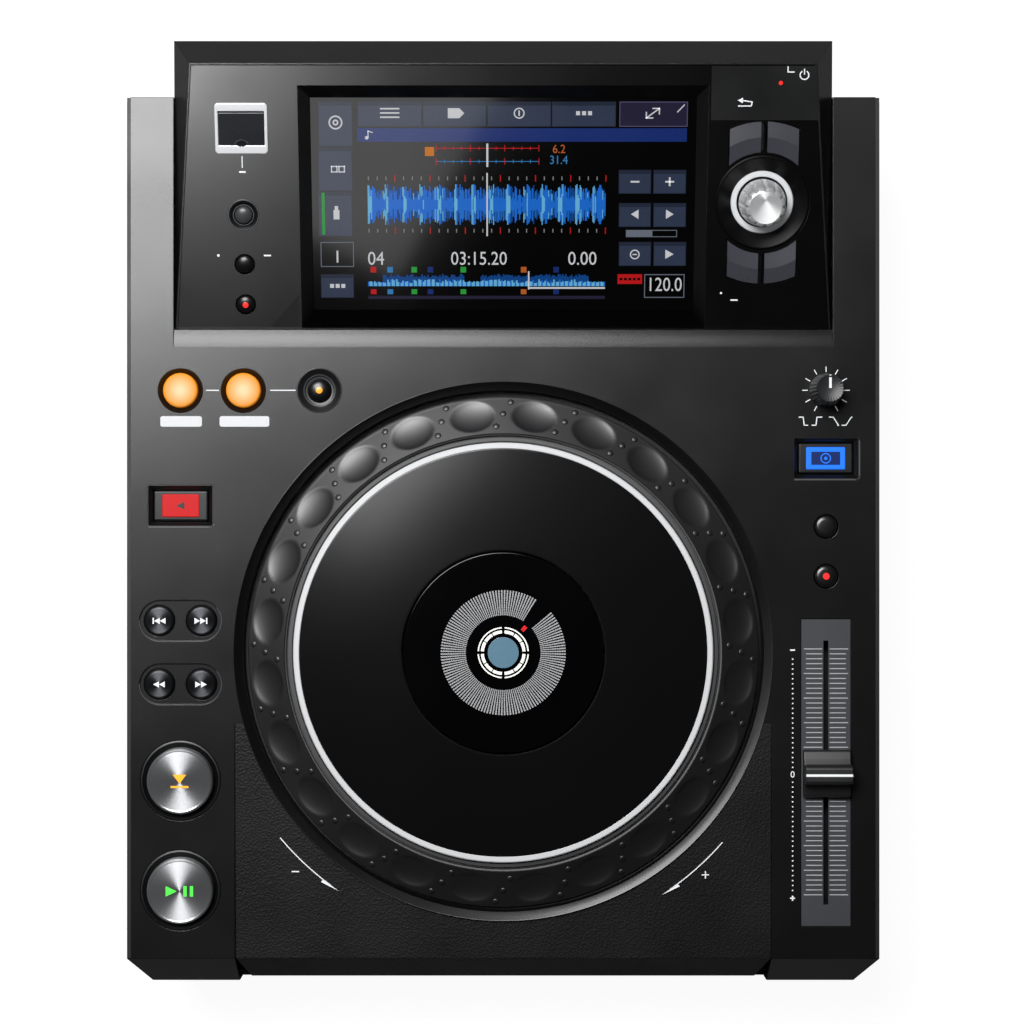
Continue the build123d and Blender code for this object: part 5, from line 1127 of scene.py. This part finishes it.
class PLAYER_OT_tempo_slider(bpy.types.Operator):
    """Add the tempo slider's plate, scale and knob"""

    bl_idname = "player.tempo_slider"
    bl_label = "Tempo Slider"

    def execute(self, context):
        x, y = seat("tempo_plate")
        plate = finish(
            "slider_plate", paint(66, 67, 71), rough=0.42, metal=0.2, grain=2600.0, relief=0.2, edges=0.3
        )
        dress(plate, "tempo_plate")
        dress(finish("fader_steel", paint(22, 22, 23), rough=0.5), "tempo_fader")
        marks = bmesh.new()
        top = crest("tempo_plate")
        pale = Pen(marks, top - 0.01, 0, top + PRINT)
        pitch, near = 2.0, 1.5
        for i in range(context.scene.player_controls.ticks):
            along = y + 50.35 - pitch * i
            far = 9.0 if i % 5 == 0 else 8.1
            pale.bar(x - far, x - near, along - 0.17, along + 0.17)
            pale.bar(x + near, x + far, along - 0.17, along + 0.17)
        white = Pen(marks, DECK, 1)
        for i in range(48):
            if i in (23, 24):  # the zero stands here
                continue
            along = y + 46.2 - pitch * i
            white.bar(x - 13.85, x - 13.3, along - 0.25, along + 0.25)
        white.bar(x - 14.6, x - 12.6, y + 49.6, y + 50.2)
        white.bar(x - 14.6, x - 12.6, y - 51.3, y - 50.7)
        white.bar(x - 13.9, x - 13.3, y - 52.0, y - 50.0)
        white.digits("0", 2.6, x - 13.6, y - 1.9)
        # The pale ticks are print; their faint glow is painted light
        tick = finish("scale_pale", paint(176, 178, 180), rough=0.5, glow=0.08, relief=0.05, shade=0.04)
        settle("tempo_scale", marks, [tick, print_white()], "chassis")
        self.knob()
        return {"FINISHED"}

    def knob(self):
        """The sliding cap, a raised ridge between two sloping ends, with its line."""
        x, y = seat("tempo_knob")
        low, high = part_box("tempo_knob")
        top = high.z / MM
        foot = DECK - 0.1
        half = (high.x - low.x) / MM / 2
        reach = (high.y - low.y) / MM / 2
        slope = [
            (reach, foot), (reach, foot + 3.6), (reach - 0.7, foot + 4.4), (reach - 3.4, foot + 5.0),
            (reach - 6.2, foot + 6.1), (4.2, top - 3.4), (3.5, top - 0.66), (2.6, top - 0.06),
        ]
        outline = [(-reach, foot)] + slope + [(-along, height) for along, height in slope[:0:-1]]
        knob = bmesh.new()
        lying(knob, outline, -half, half, Matrix.Translation((x, y, 0)), bevel=0.35)
        slab(knob, x - half + 0.1, x + half - 0.1, y - 0.5, y + 0.5, top - 0.3, top, 1)
        slab(knob, x - 0.6, x + 0.6, y - 2.5, y + 2.5, 72.0, foot + 0.5)
        cap = finish("fader_cap", paint(24, 24, 26), rough=0.34, gloss=0.8, relief=0.04)
        # The knob's white line is print; its glow is painted light
        line = finish("fader_line", paint(236, 238, 240), rough=0.35, glow=0.15, relief=0.02, shade=0.03)
        settle("tempo_slider_cap", knob, [cap, line], "tempo_knob", ["tempo_knob"], soft=60.0)


class PLAYER_OT_speed_knob(bpy.types.Operator):
    """Add the speed knob with its pointer"""

    bl_idname = "player.speed_knob"
    bl_label = "Speed Knob"

    def execute(self, context):
        node = "speed_knob"
        x, y = seat(node)
        top = crest(node)
        outline = [
            (0.0, top - 0.35), (4.4, top - 0.35), (4.9, top - 0.05), (5.25, top), (5.6, top - 0.3),
            (6.2, top - 7.0), (6.75, top - 13.0), (6.85, DECK + 0.3), (0.0, DECK + 0.3),
        ]
        knob = ribbed(outline, context.scene.player_controls.flutes * 2, 0.28, x, y, DECK + 0.8, 192)
        slab(knob, x - 0.5, x + 0.5, y + 0.2, y + 5.0, top - 0.4, top - 0.28, 1)
        slab(knob, x - 0.5, x + 0.5, y + 5.1, y + 5.5, top - 1.2, top - 0.1, 1)
        turned(knob, [(0.0, DECK + 0.4), (3.0, DECK + 0.4), (3.0, 76.0), (0.0, 76.0)], 32, x, y)
        cap = finish("speed_plastic", paint(34, 35, 37), rough=0.4, relief=0.1, coat=0.15, coat_rough=0.3)
        settle("speed_dial_knob", knob, [cap, print_white()], node, [node], soft=45.0)
        return {"FINISHED"}


class PLAYER_OT_deck_marks(bpy.types.Operator):
    """Add the lines, ticks, arcs and signs printed on the deck"""

    bl_idname = "player.deck_marks"
    bl_label = "Deck Marks"

    def execute(self, context):
        thin = context.scene.player_case.mark_width / MM * 0.8
        marks = bmesh.new()
        pen = Pen(marks, DECK)
        loop_y = seat("loop_in_button")[1]
        for a, b in ((-120.8, -115.6), (-94.8, -84.4)):
            pen.bar(a, b, loop_y - 0.2, loop_y + 0.2)
        for a, b in ((-139.4, -122.5), (-115.3, -95.1)):
            Pen(marks, DECK, 1).shape(*rounded(a, b, 35.8, 40.1, 0.9, 3))
        x, y = seat("speed_knob")
        for i in range(11):
            angle = math.radians(30 * i - 60)
            ends = [(x + r * math.cos(angle), y + r * math.sin(angle)) for r in (7.6, 9.5)]
            pen.line(0.35, *ends)
        low, high = 36.4, 39.7
        for steep, left in ((0.4, x - 10.9), (2.2, x + 1.3)):
            fall = left + 1.6
            rise = left + 6.8
            pen.line(thin, (left, high), (fall, high), (fall + steep, low), (left + 3.4, low))
            pen.line(thin, (left + 5.2, low), (rise, low), (rise + steep, high), (left + 9.2, high))
        x, y = seat("jog_well_ring")
        radius = 118.2
        for start, sweep in ((219.9, 13.6), (-54.9, 13.8)):
            pen.ring(x, y, radius - 0.2, radius + 0.2, 24, start, sweep)
        for angle, way in ((233.9, 1), (-55.3, -1)):
            self.arrow(pen, x, y, radius, angle, way)
        pen.bar(-86.0, -83.0, -145.3, -144.8)
        pen.bar(80.7, 83.7, -146.6, -146.15)
        pen.bar(81.98, 82.43, -147.9, -144.9)
        # The pale label plates are print; their faint glow is painted light
        pale = finish("label_plate", paint(206, 208, 210), rough=0.45, glow=0.12, relief=0.05, shade=0.05)
        settle("deck_print", marks, [print_white(), pale], "chassis")
        return {"FINISHED"}

    def arrow(self, pen, x, y, radius, angle, way):
        """A slim arrow head at the end of a direction arc."""
        points = []
        for reach, turn in ((radius, way * 1.6), (radius + 1.3, -way * 2.2), (radius, -way * 2.2)):
            at = math.radians(angle + turn)
            points.append((x + reach * math.cos(at), y + reach * math.sin(at)))
        pen.shape(*points)


class PLAYER_OT_screen(bpy.types.Operator):
    """Add the glass and what the screen shows"""

    bl_idname = "player.screen"
    bl_label = "Screen"

    def execute(self, context):
        look = context.scene.player_screen
        glass = finish("screen_glass", paint(2, 2, 3), rough=0.1, coat=1.0, relief=0.01, spread=0.02)
        dress(glass, "touch_panel")
        gloss = finish("fascia_gloss", paint(6, 6, 7), rough=0.25, spread=0.02, relief=0.03, edges=0.35)
        dress(gloss, "display_fascia")
        dress(finish("lcd_back", paint(60, 62, 64), rough=0.5), "lcd_module")
        show = bmesh.new()
        low, high = 0.02 - SCREEN_DEPTH, 0.05 - SCREEN_DEPTH

        def panel(x0, x1, v0, v1, skin, lift=0.0):
            slab(show, x0, x1, v0, v1, low, high + lift, skin)

        for x0, x1, v0, v1 in TABS:
            panel(x0, x1, v0, v1, TAB_EDGE)
            panel(x0 + 0.3, x1 - 0.3, v0 + 0.3, v1 - 1.6, TAB, 0.02)
        for row in PANELS:
            panel(*row)
        self.scales(panel)
        self.waveform(panel)
        self.beats(panel)
        self.overview(panel)
        top = 0.08 - SCREEN_DEPTH
        for words, height, x, v, skin, align, narrow in READINGS:
            Pen(show, top, skin).digits(words, height, x, v, align, narrow)
        self.signs(Pen(show, top, WHITE))
        for i in range(5):
            Pen(show, top, BLACK).bar(47.4 + 1.8 * i, 48.6 + 1.8 * i, 19.3, 20.3)
        skins = self.skins(look)
        image = settle("screen_image", show, skins, "chassis", place=ON_FASCIA, soft=20.0)
        tie(image, "glass")
        tie(image, "main")
        bpy.data.collections["main_block"].collection_objects[-1].light_linking.link_state = "EXCLUDE"
        return {"FINISHED"}

    def skins(self, look):
        """The screen's finishes, in the order of their names at the top."""

        def pixel(name, colour, **more):
            return finish(name, colour, **{"rough": 0.12, "glow": look.glow, "relief": 0.01, **more})

        return [
            pixel("tab_edge", shaded(look.tab_colour, 0.55), coat=0.8, shade=0.05),
            pixel("tab_face", look.tab_colour, coat=0.8),
            pixel("tab_violet_edge", paint(96, 92, 128), coat=0.8),
            pixel("tab_violet", paint(44, 40, 66), coat=0.8),
            pixel("title_blue", paint(30, 54, 128), coat=0.8),
            pixel("pixel_green", paint(52, 176, 70)),
            pixel("pixel_slate", paint(120, 128, 142)),
            pixel("pixel_black", paint(6, 7, 9), rough=0.1, coat=1.0, glow=0.0),
            pixel("pixel_red", paint(216, 30, 34)),
            pixel("pixel_amber", paint(228, 132, 30)),
            pixel("pixel_azure", paint(62, 142, 206)),
            pixel("pixel_white", paint(236, 238, 242), shade=0.02),
            pixel("pixel_gray", paint(150, 152, 150)),
            pixel("pixel_orange", paint(206, 108, 52)),
            pixel("wave_deep", shaded(look.wave_colour, 0.42)),
            pixel("wave_blue", look.wave_colour, glow=look.glow * 1.1),
            pixel("wave_pale", paint(120, 204, 255)),
        ]

    def scales(self, panel):
        """The two small beat scales and their marker."""
        for v, skin in ((72.9, RED), (67.6, AZURE)):
            panel(-27.0, 14.4, v - 0.14, v + 0.14, skin)
            for i in range(13):
                tall, tone = (1.3, RED) if i % 4 == 0 else (0.7, skin)
                at = -27.0 + 3.45 * i
                panel(at - 0.15, at + 0.15, v - tall, v + tall, tone, 0.01)
        panel(-6.8, -6.0, 65.4, 74.8, WHITE, 0.06)

    def waveform(self, panel):
        """The scrolling waveform, drawn as narrow upright bars about its middle line."""
        chance = random.Random(11)
        middle, left, right = 50.2, -54.8, 41.4
        tallest = 8.2
        count = 220
        pitch = (right - left) / count
        for i in range(count):
            beat = (i % 16) / 16.0
            swell = 1.0 - 0.55 * beat if i % 32 < 16 else 0.95 - 0.3 * beat
            tall = tallest * min(1.0, max(0.3, swell + chance.uniform(-0.22, 0.18)))
            at = left + pitch * i
            skin = WAVE if chance.random() < 0.62 else WAVE_DEEP
            panel(at, at + pitch * 1.02, middle - tall, middle + tall, skin)
            if i % 16 in (0, 1) or chance.random() < 0.1:
                panel(at, at + pitch * 0.8, middle - tall, middle + tall, WAVE_PALE, 0.01)
            core = tall * chance.uniform(0.25, 0.6)
            tone = WAVE_PALE if skin == WAVE and beat < 0.2 else WAVE
            panel(at, at + pitch * 1.02, middle - core, middle + core, tone, 0.015)
        panel(-6.8, -6.2, 37.4, 63.0, WHITE, 0.06)

    def beats(self, panel):
        """Ticks above and below the waveform."""
        for i in range(28):
            at = -54.4 + 3.55 * i
            tall, skin = (1.3, RED) if i % 4 == 3 else (0.75, GREY)
            for v in (60.8, 39.6):
                panel(at - 0.2, at + 0.2, v - tall, v + tall, skin)

    def overview(self, panel):
        """The whole track in small, with its cue marks and how far it has played."""
        chance = random.Random(5)
        left, right, low = -55.1, 41.5, 16.9
        tallest = 5.6
        count = 160
        pitch = (right - left) / count
        for i in range(count):
            share = i / count
            swell = 0.35 if share < 0.06 or 0.4 < share < 0.47 or share > 0.93 else 0.85
            tall = tallest * swell * chance.uniform(0.75, 1.05)
            core = min(tall, 2.4 * chance.uniform(0.5, 1.2))
            at = left + pitch * i
            panel(at, at + pitch, low, low + tall, WAVE_DEEP)
            panel(at, at + pitch, low, low + core, WAVE_PALE if i % 3 else WAVE, 0.01)
        panel(10.4, right, 15.8, 16.5, WHITE, 0.02)
        panel(10.1, 10.7, 15.5, 23.0, WHITE, 0.04)
        for at, skin in (
            (-54.0, RED), (-47.2, AZURE), (-37.4, GREEN), (-30.8, TITLE), (-17.4, GREEN), (7.2, ORANGE),
            (20.4, TITLE),
        ):
            panel(at, at + 2.3, 22.5, 24.8, skin, 0.02)
            panel(at, at + 2.3, 13.6, 15.6, skin, 0.02)
        panel(left, right, 11.6, 12.9, VIOLET)

    def signs(self, pen):
        """Plain signs on the tabs, in the places of their words."""
        pen.shape((54.8, 44.4), (51.7, 46.3), (54.8, 48.2))
        pen.shape((65.9, 44.4), (69.0, 46.3), (65.9, 48.2))
        pen.shape((-22.2, 84.9), (-17.6, 84.9), (-15.6, 86.9), (-17.6, 88.9), (-22.2, 88.9))
        pen.shape((65.9, 28.1), (69.3, 30.0), (65.9, 31.9))
        for i in range(3):
            pen.bar(-49.4, -41.6, 85.0 + 1.7 * i, 85.6 + 1.7 * i)
            pen.bar(29.2 + 2.4 * i, 30.8 + 2.4 * i, 86.1, 87.7)
            pen.bar(-70.6 + 2.3 * i, -69.0 + 2.3 * i, 16.2, 17.8)
        for edges in (
            (6.1, 6.7, 85.8, 88.0), (-68.7, -66.3, 44.2, 48.0), (-68.2, -66.8, 48.0, 49.6),
            (51.4, 55.0, 59.1, 59.8), (65.4, 69.0, 59.1, 59.8), (66.85, 67.55, 57.65, 61.25),
            (52.6, 54.4, 29.65, 30.15),
        ):
            pen.bar(*edges)
        pen.ring(6.4, 86.9, 1.7, 2.2, 30)
        pen.ring(-67.3, 83.2, 2.2, 2.8, 30)
        pen.ring(-67.3, 83.2, 0.6, 1.2, 16)
        pen.ring(53.5, 29.9, 1.5, 2.0)
        pen.line(0.5, (57.4, 85.0), (62.6, 88.8))
        pen.line(0.5, (57.4, 87.2), (57.4, 85.0), (60.0, 85.0))
        pen.line(0.5, (62.6, 86.6), (62.6, 88.8), (60.0, 88.8))
        pen.line(0.45, (69.9, 87.4), (72.6, 90.2))
        for x in (-69.2, -66.2):
            pen.line(0.45, (x, 63.4), (x + 2.2, 63.4), (x + 2.2, 65.6), (x, 65.6), (x, 63.4))
        pen.line(0.4, (-54.3, 77.0), (-54.3, 79.8), (-52.6, 79.2))
        pen.dot(-54.9, 77.1, 0.7, 16)


class PLAYER_OT_memory_stick(bpy.types.Operator):
    """Add the bright frame and the cover of the memory-stick port"""

    bl_idname = "player.memory_stick"
    bl_label = "Memory-Stick Port"

    def execute(self, context):
        x, v = FASCIA_LEFT, 81.4
        part = bmesh.new()
        low, top = -1.0, 0.9
        edges = []
        for half_x, half_v, radius in ((10.55, 10.05, 1.5), (9.25, 6.8, 0.25)):
            points = rounded(x - half_x, x + half_x, v - half_v, v + half_v, radius)
            ring = [part.verts.new((a, b, low)) for a, b in points]
            edges += [part.edges.new(pair) for pair in zip(ring, ring[1:] + ring[:1])]
        bmesh.ops.bridge_loops(part, edges=edges)
        upper = extrude(part, (0, 0, top - low))
        rims = []
        for edge in part.edges:
            walls = [face for face in edge.link_faces if face.calc_center_median().z < top - 0.1]
            if walls and all(vert in upper for vert in edge.verts):
                rims.append(edge)
        round_edges(part, rims, 0.35, 2)
        port = bmesh.new()
        merge_in(port, part)
        chrome = finish(
            "port_silver", paint(222, 223, 226), rough=0.3, metal=0.3, relief=0.04, shade=0.04, glow=0.18
        )
        settle("port_frame", port, [chrome], "chassis", ["usb_frame"], ON_FASCIA)
        self.notch(x, v - 7.6)
        dress(finish("port_cover", paint(30, 33, 36), rough=0.3, coat=0.1, relief=0.04), "usb_cover")
        dress(finish("port_steel", paint(140, 142, 145), rough=0.3, metal=1.0), "usb_socket")
        return {"FINISHED"}

    def notch(self, x, v):
        """The notch for a fingernail on the cover, drawn flat: a pale arc is a painted highlight of its edge,
        a dark fill is painted shade in its hollow.
        """
        cover = frame["nodes"]["usb_cover"]
        to_fascia = ON_FASCIA.inverted()
        face = max((to_fascia @ (cover.matrix_world @ corner.co / MM)).z for corner in cover.data.vertices)
        marks = bmesh.new()
        Pen(marks, face).ring(x, v, 2.9, 3.2, 24, 25, 130)
        Pen(marks, face, 1, face + PRINT / 2).ring(x, v, 0.5, 2.9, 24, 25, 130)
        # A pale arc as painted highlight and a dark fill as painted shade
        rim = finish("notch_rim", paint(70, 74, 78), rough=0.3)
        dark = finish("notch_dark", paint(14, 15, 16), rough=0.3)
        settle("port_cover_notch", marks, [rim, dark], "usb_cover", place=ON_FASCIA)


class PLAYER_OT_fascia_controls(bpy.types.Operator):
    """Add the small buttons and the marks on the fascia"""

    bl_idname = "player.fascia_controls"
    bl_label = "Fascia Controls"

    def execute(self, context):
        x = FASCIA_LEFT
        stop_v = 46.6
        satin = finish("stop_satin", paint(58, 60, 62), rough=0.34, coat=0.1, relief=0.06)
        for node, v, radius, skins in (
            ("usb_stop_button", stop_v, 3.6, [satin]), ("time_mode_button", 26.6, 3.8, [dome_gloss()]),
            ("quantize_button", 10.1, 3.8, [dome_gloss(), dot_red()]),
        ):
            cap = round_cap(dome(radius, 1.4, 1.7), x, v, 64, foot=FASCIA_FOOT, board=FASCIA_BOARD)
            if node == "quantize_button":
                turned(cap, [(0.0, 1.46), (0.9, 1.4), (1.25, 1.28), (0.0, 1.2)], 32, x, v, 1)
            settle(node + "_cap", cap, skins, node, [node], ON_FASCIA)
        rim = bmesh.new()
        outline = [(6.3, 0.02), (6.1, 0.12), (5.85, 0.02), (3.95, -1.5), (3.95, -1.9), (6.3, -0.2)]
        turned(rim, outline, 64, x, stop_v)
        # Two thin pale rings at the recess's inner and outer edge: a painted highlight of those edges
        for inner in (4.0, 5.9):
            Pen(rim, -0.3, 1, 0.14).ring(x, stop_v, inner, inner + 0.22, 64, sweep=360.0)
        dark = finish("recess_dark", paint(18, 18, 20), rough=0.35)
        settle("stop_recess", rim, [dark, recess_line()], "chassis", place=ON_FASCIA)
        self.marks(x)
        return {"FINISHED"}

    def marks(self, x):
        """White signs and dots, a red dot and two darker areas."""
        marks = bmesh.new()
        pen = Pen(marks, 0.0)
        for edges in (
            (x - 0.18, x + 0.18, 65.5, 70.3), (x - 1.3, x + 1.3, 63.6, 64.3), (-96.9, -94.0, 29.85, 30.5),
            (92.4, 95.3, 11.65, 12.25), (119.6, 120.0, 102.6, 104.9),
        ):
            pen.bar(*edges)
        pen.dot(-115.3, 30.2, 0.55)
        pen.dot(88.5, 14.8, 0.45)
        pen.ring(119.8, 102.4, 1.5, 1.95, 24, 120, 300)
        pen.line(0.45, (113.2, 105.6), (113.2, 103.6), (115.6, 103.6))
        pen.line(0.45, (93.9, 90.2), (98.9, 90.2), (99.3, 91.8), (95.4, 92.4))
        pen.shape((93.5, 92.4), (95.6, 91.3), (95.6, 93.5))
        Pen(marks, 0.0, 1).dot(110.5, 99.3, 0.8, 24)
        Pen(marks, 0.005, 2, 0.02).shape((83.0, 84.6), (126.6, 84.6), (124.7, 106.0), (82.9, 106.0))
        Pen(marks, 0.005, 3, 0.02).shape((-94.7, 0.8), (-83.3, 0.8), (-83.0, 14.0))
        slate = finish("slate_print", paint(4, 5, 7), rough=0.4)
        dark = finish("dark_print", paint(5, 5, 6), rough=0.45)
        skins = [print_white(), dot_red(), slate, dark]
        settle("fascia_print", marks, skins, "chassis", place=ON_FASCIA)


class PLAYER_OT_selector(bpy.types.Operator):
    """Add the rotary selector, its light ring, its dish and the four keys round it"""

    bl_idname = "player.selector"
    bl_label = "Selector"

    def execute(self, context):
        x, v = 104.4, 51.5
        dish = bmesh.new()
        outline = [
            (18.85, -0.4), (18.85, 0.05), (18.5, 0.2), (17.9, 0.18), (12.75, -1.9), (12.75, -3.0),
            (18.0, -0.9),
        ]
        turned(dish, outline, 128, x, v)
        gloss = finish("dish_gloss", paint(5, 5, 6), rough=0.34, gloss=0.14, relief=0.03)
        settle("selector_bowl", dish, [gloss], "chassis", ["selector_dish"], ON_FASCIA)
        halo = bmesh.new()
        outline = [(10.3, -3.1), (10.3, -1.95), (10.8, -1.6), (12.3, -1.6), (12.6, -1.95), (12.6, -3.1)]
        turned(halo, outline, 96, x, v)
        light = finish("halo_light", paint(208, 210, 212), rough=0.4, glow=0.08, relief=0.02, shade=0.05)
        settle("selector_halo_ring", halo, [light], "chassis", ["selector_halo"], ON_FASCIA)
        outline = [
            (0.0, 13.95), (6.35, 13.95), (6.6, 13.85), (7.3, 13.3), (8.0, 12.4), (8.3, 11.4), (8.6, 8.0),
            (9.3, 1.0), (9.55, -0.9), (0.0, -0.9),
        ]
        flutes = context.scene.player_controls.flutes
        knob = ribbed(braced(outline), flutes, 0.62, x, v, 0.0, 240, 6.9)
        high = ON_FASCIA @ Vector((x, v, 13.5))
        metal = finish(
            "knob_aluminium", paint(214, 215, 216), rough=0.3, metal=0.62, spun=0.85, relief=0.04,
            depth=0.00002, centre=tuple(c * MM for c in high), shade=0.05,
        )
        turner = settle(
            "selector_dial_knob", knob, [metal], "selector_knob", ["selector_knob"],
            ON_FASCIA, soft=45.0, level=False,
        )
        tie(turner, "selector")
        dress(finish("shaft_steel", paint(150, 152, 155), rough=0.3, metal=1.0), "encoder_plunger")
        sector = finish("sector_gloss", paint(62, 63, 70), rough=0.3, coat=0.1, relief=0.03)
        dress(sector, "back_button", "tag_button", "filter_button", "shortcut_button")
        return {"FINISHED"}


class PLAYER_OT_rear(bpy.types.Operator):
    """Finish the rear connectors, the power button and what is inside"""

    bl_idname = "player.rear"
    bl_label = "Rear and Inside"

    def execute(self, context):
        dress(finish("inlet_plastic", paint(18, 18, 19), rough=0.45), "ac_inlet")
        dress(finish("jack_metal", paint(200, 180, 120), rough=0.28, metal=1.0), "audio_jacks")
        dress(finish("port_metal", paint(170, 172, 175), rough=0.3, metal=1.0), "data_ports")
        dress(finish("power_cap", paint(24, 24, 25), rough=0.35), "power_button")
        board = finish("board_green", paint(30, 66, 44), rough=0.45, grain=500.0, shade=0.25)
        dress(board, "main_board", "power_supply", "deck_button_boards", "display_button_boards")
        return {"FINISHED"}


class PLAYER_PT_panel(bpy.types.Panel):
    """Lists the player's pieces in the sidebar"""

    bl_label = "Media Player"
    bl_idname = "PLAYER_PT_panel"
    bl_space_type = "VIEW_3D"
    bl_region_type = "UI"
    bl_category = "Player"

    def draw(self, context):
        layout = self.layout
        for operator in OPERATORS:
            layout.operator(operator.bl_idname)
        for group in GROUPS.values():
            settings = getattr(context.scene, group)
            for name in settings.bl_rna.properties.keys():
                if name not in ("rna_type", "name"):
                    layout.prop(settings, name)


GROUPS = {
    StageSettings: "player_stage",
    CaseSettings: "player_case",
    JogSettings: "player_jog",
    ControlSettings: "player_controls",
    ScreenSettings: "player_screen",
}
OPERATORS = (
    PLAYER_OT_stage,
    PLAYER_OT_case,
    PLAYER_OT_jog_dial,
    PLAYER_OT_jog_well,
    PLAYER_OT_jog_plate,
    PLAYER_OT_centre_display,
    PLAYER_OT_transport,
    PLAYER_OT_loop_buttons,
    PLAYER_OT_skip_buttons,
    PLAYER_OT_keys,
    PLAYER_OT_dot_buttons,
    PLAYER_OT_tempo_slider,
    PLAYER_OT_speed_knob,
    PLAYER_OT_deck_marks,
    PLAYER_OT_screen,
    PLAYER_OT_memory_stick,
    PLAYER_OT_fascia_controls,
    PLAYER_OT_selector,
    PLAYER_OT_rear,
)


def register():
    for group, name in GROUPS.items():
        bpy.utils.register_class(group)
        setattr(bpy.types.Scene, name, bpy.props.PointerProperty(type=group))
    for operator in OPERATORS:
        bpy.utils.register_class(operator)
    bpy.utils.register_class(PLAYER_PT_panel)


def unregister():
    bpy.utils.unregister_class(PLAYER_PT_panel)
    for operator in reversed(OPERATORS):
        bpy.utils.unregister_class(operator)
    for group, name in GROUPS.items():
        delattr(bpy.types.Scene, name)
        bpy.utils.unregister_class(group)


def main():
    register()
    bpy.ops.player.stage()
    bpy.ops.player.case()
    bpy.ops.player.jog_dial()
    bpy.ops.player.jog_well()
    bpy.ops.player.jog_plate()
    bpy.ops.player.centre_display()
    bpy.ops.player.transport()
    bpy.ops.player.loop_buttons()
    bpy.ops.player.skip_buttons()
    bpy.ops.player.keys()
    bpy.ops.player.dot_buttons()
    bpy.ops.player.tempo_slider()
    bpy.ops.player.speed_knob()
    bpy.ops.player.deck_marks()
    bpy.ops.player.screen()
    bpy.ops.player.memory_stick()
    bpy.ops.player.fascia_controls()
    bpy.ops.player.selector()
    bpy.ops.player.rear()


if __name__ == "__main__":
    main()
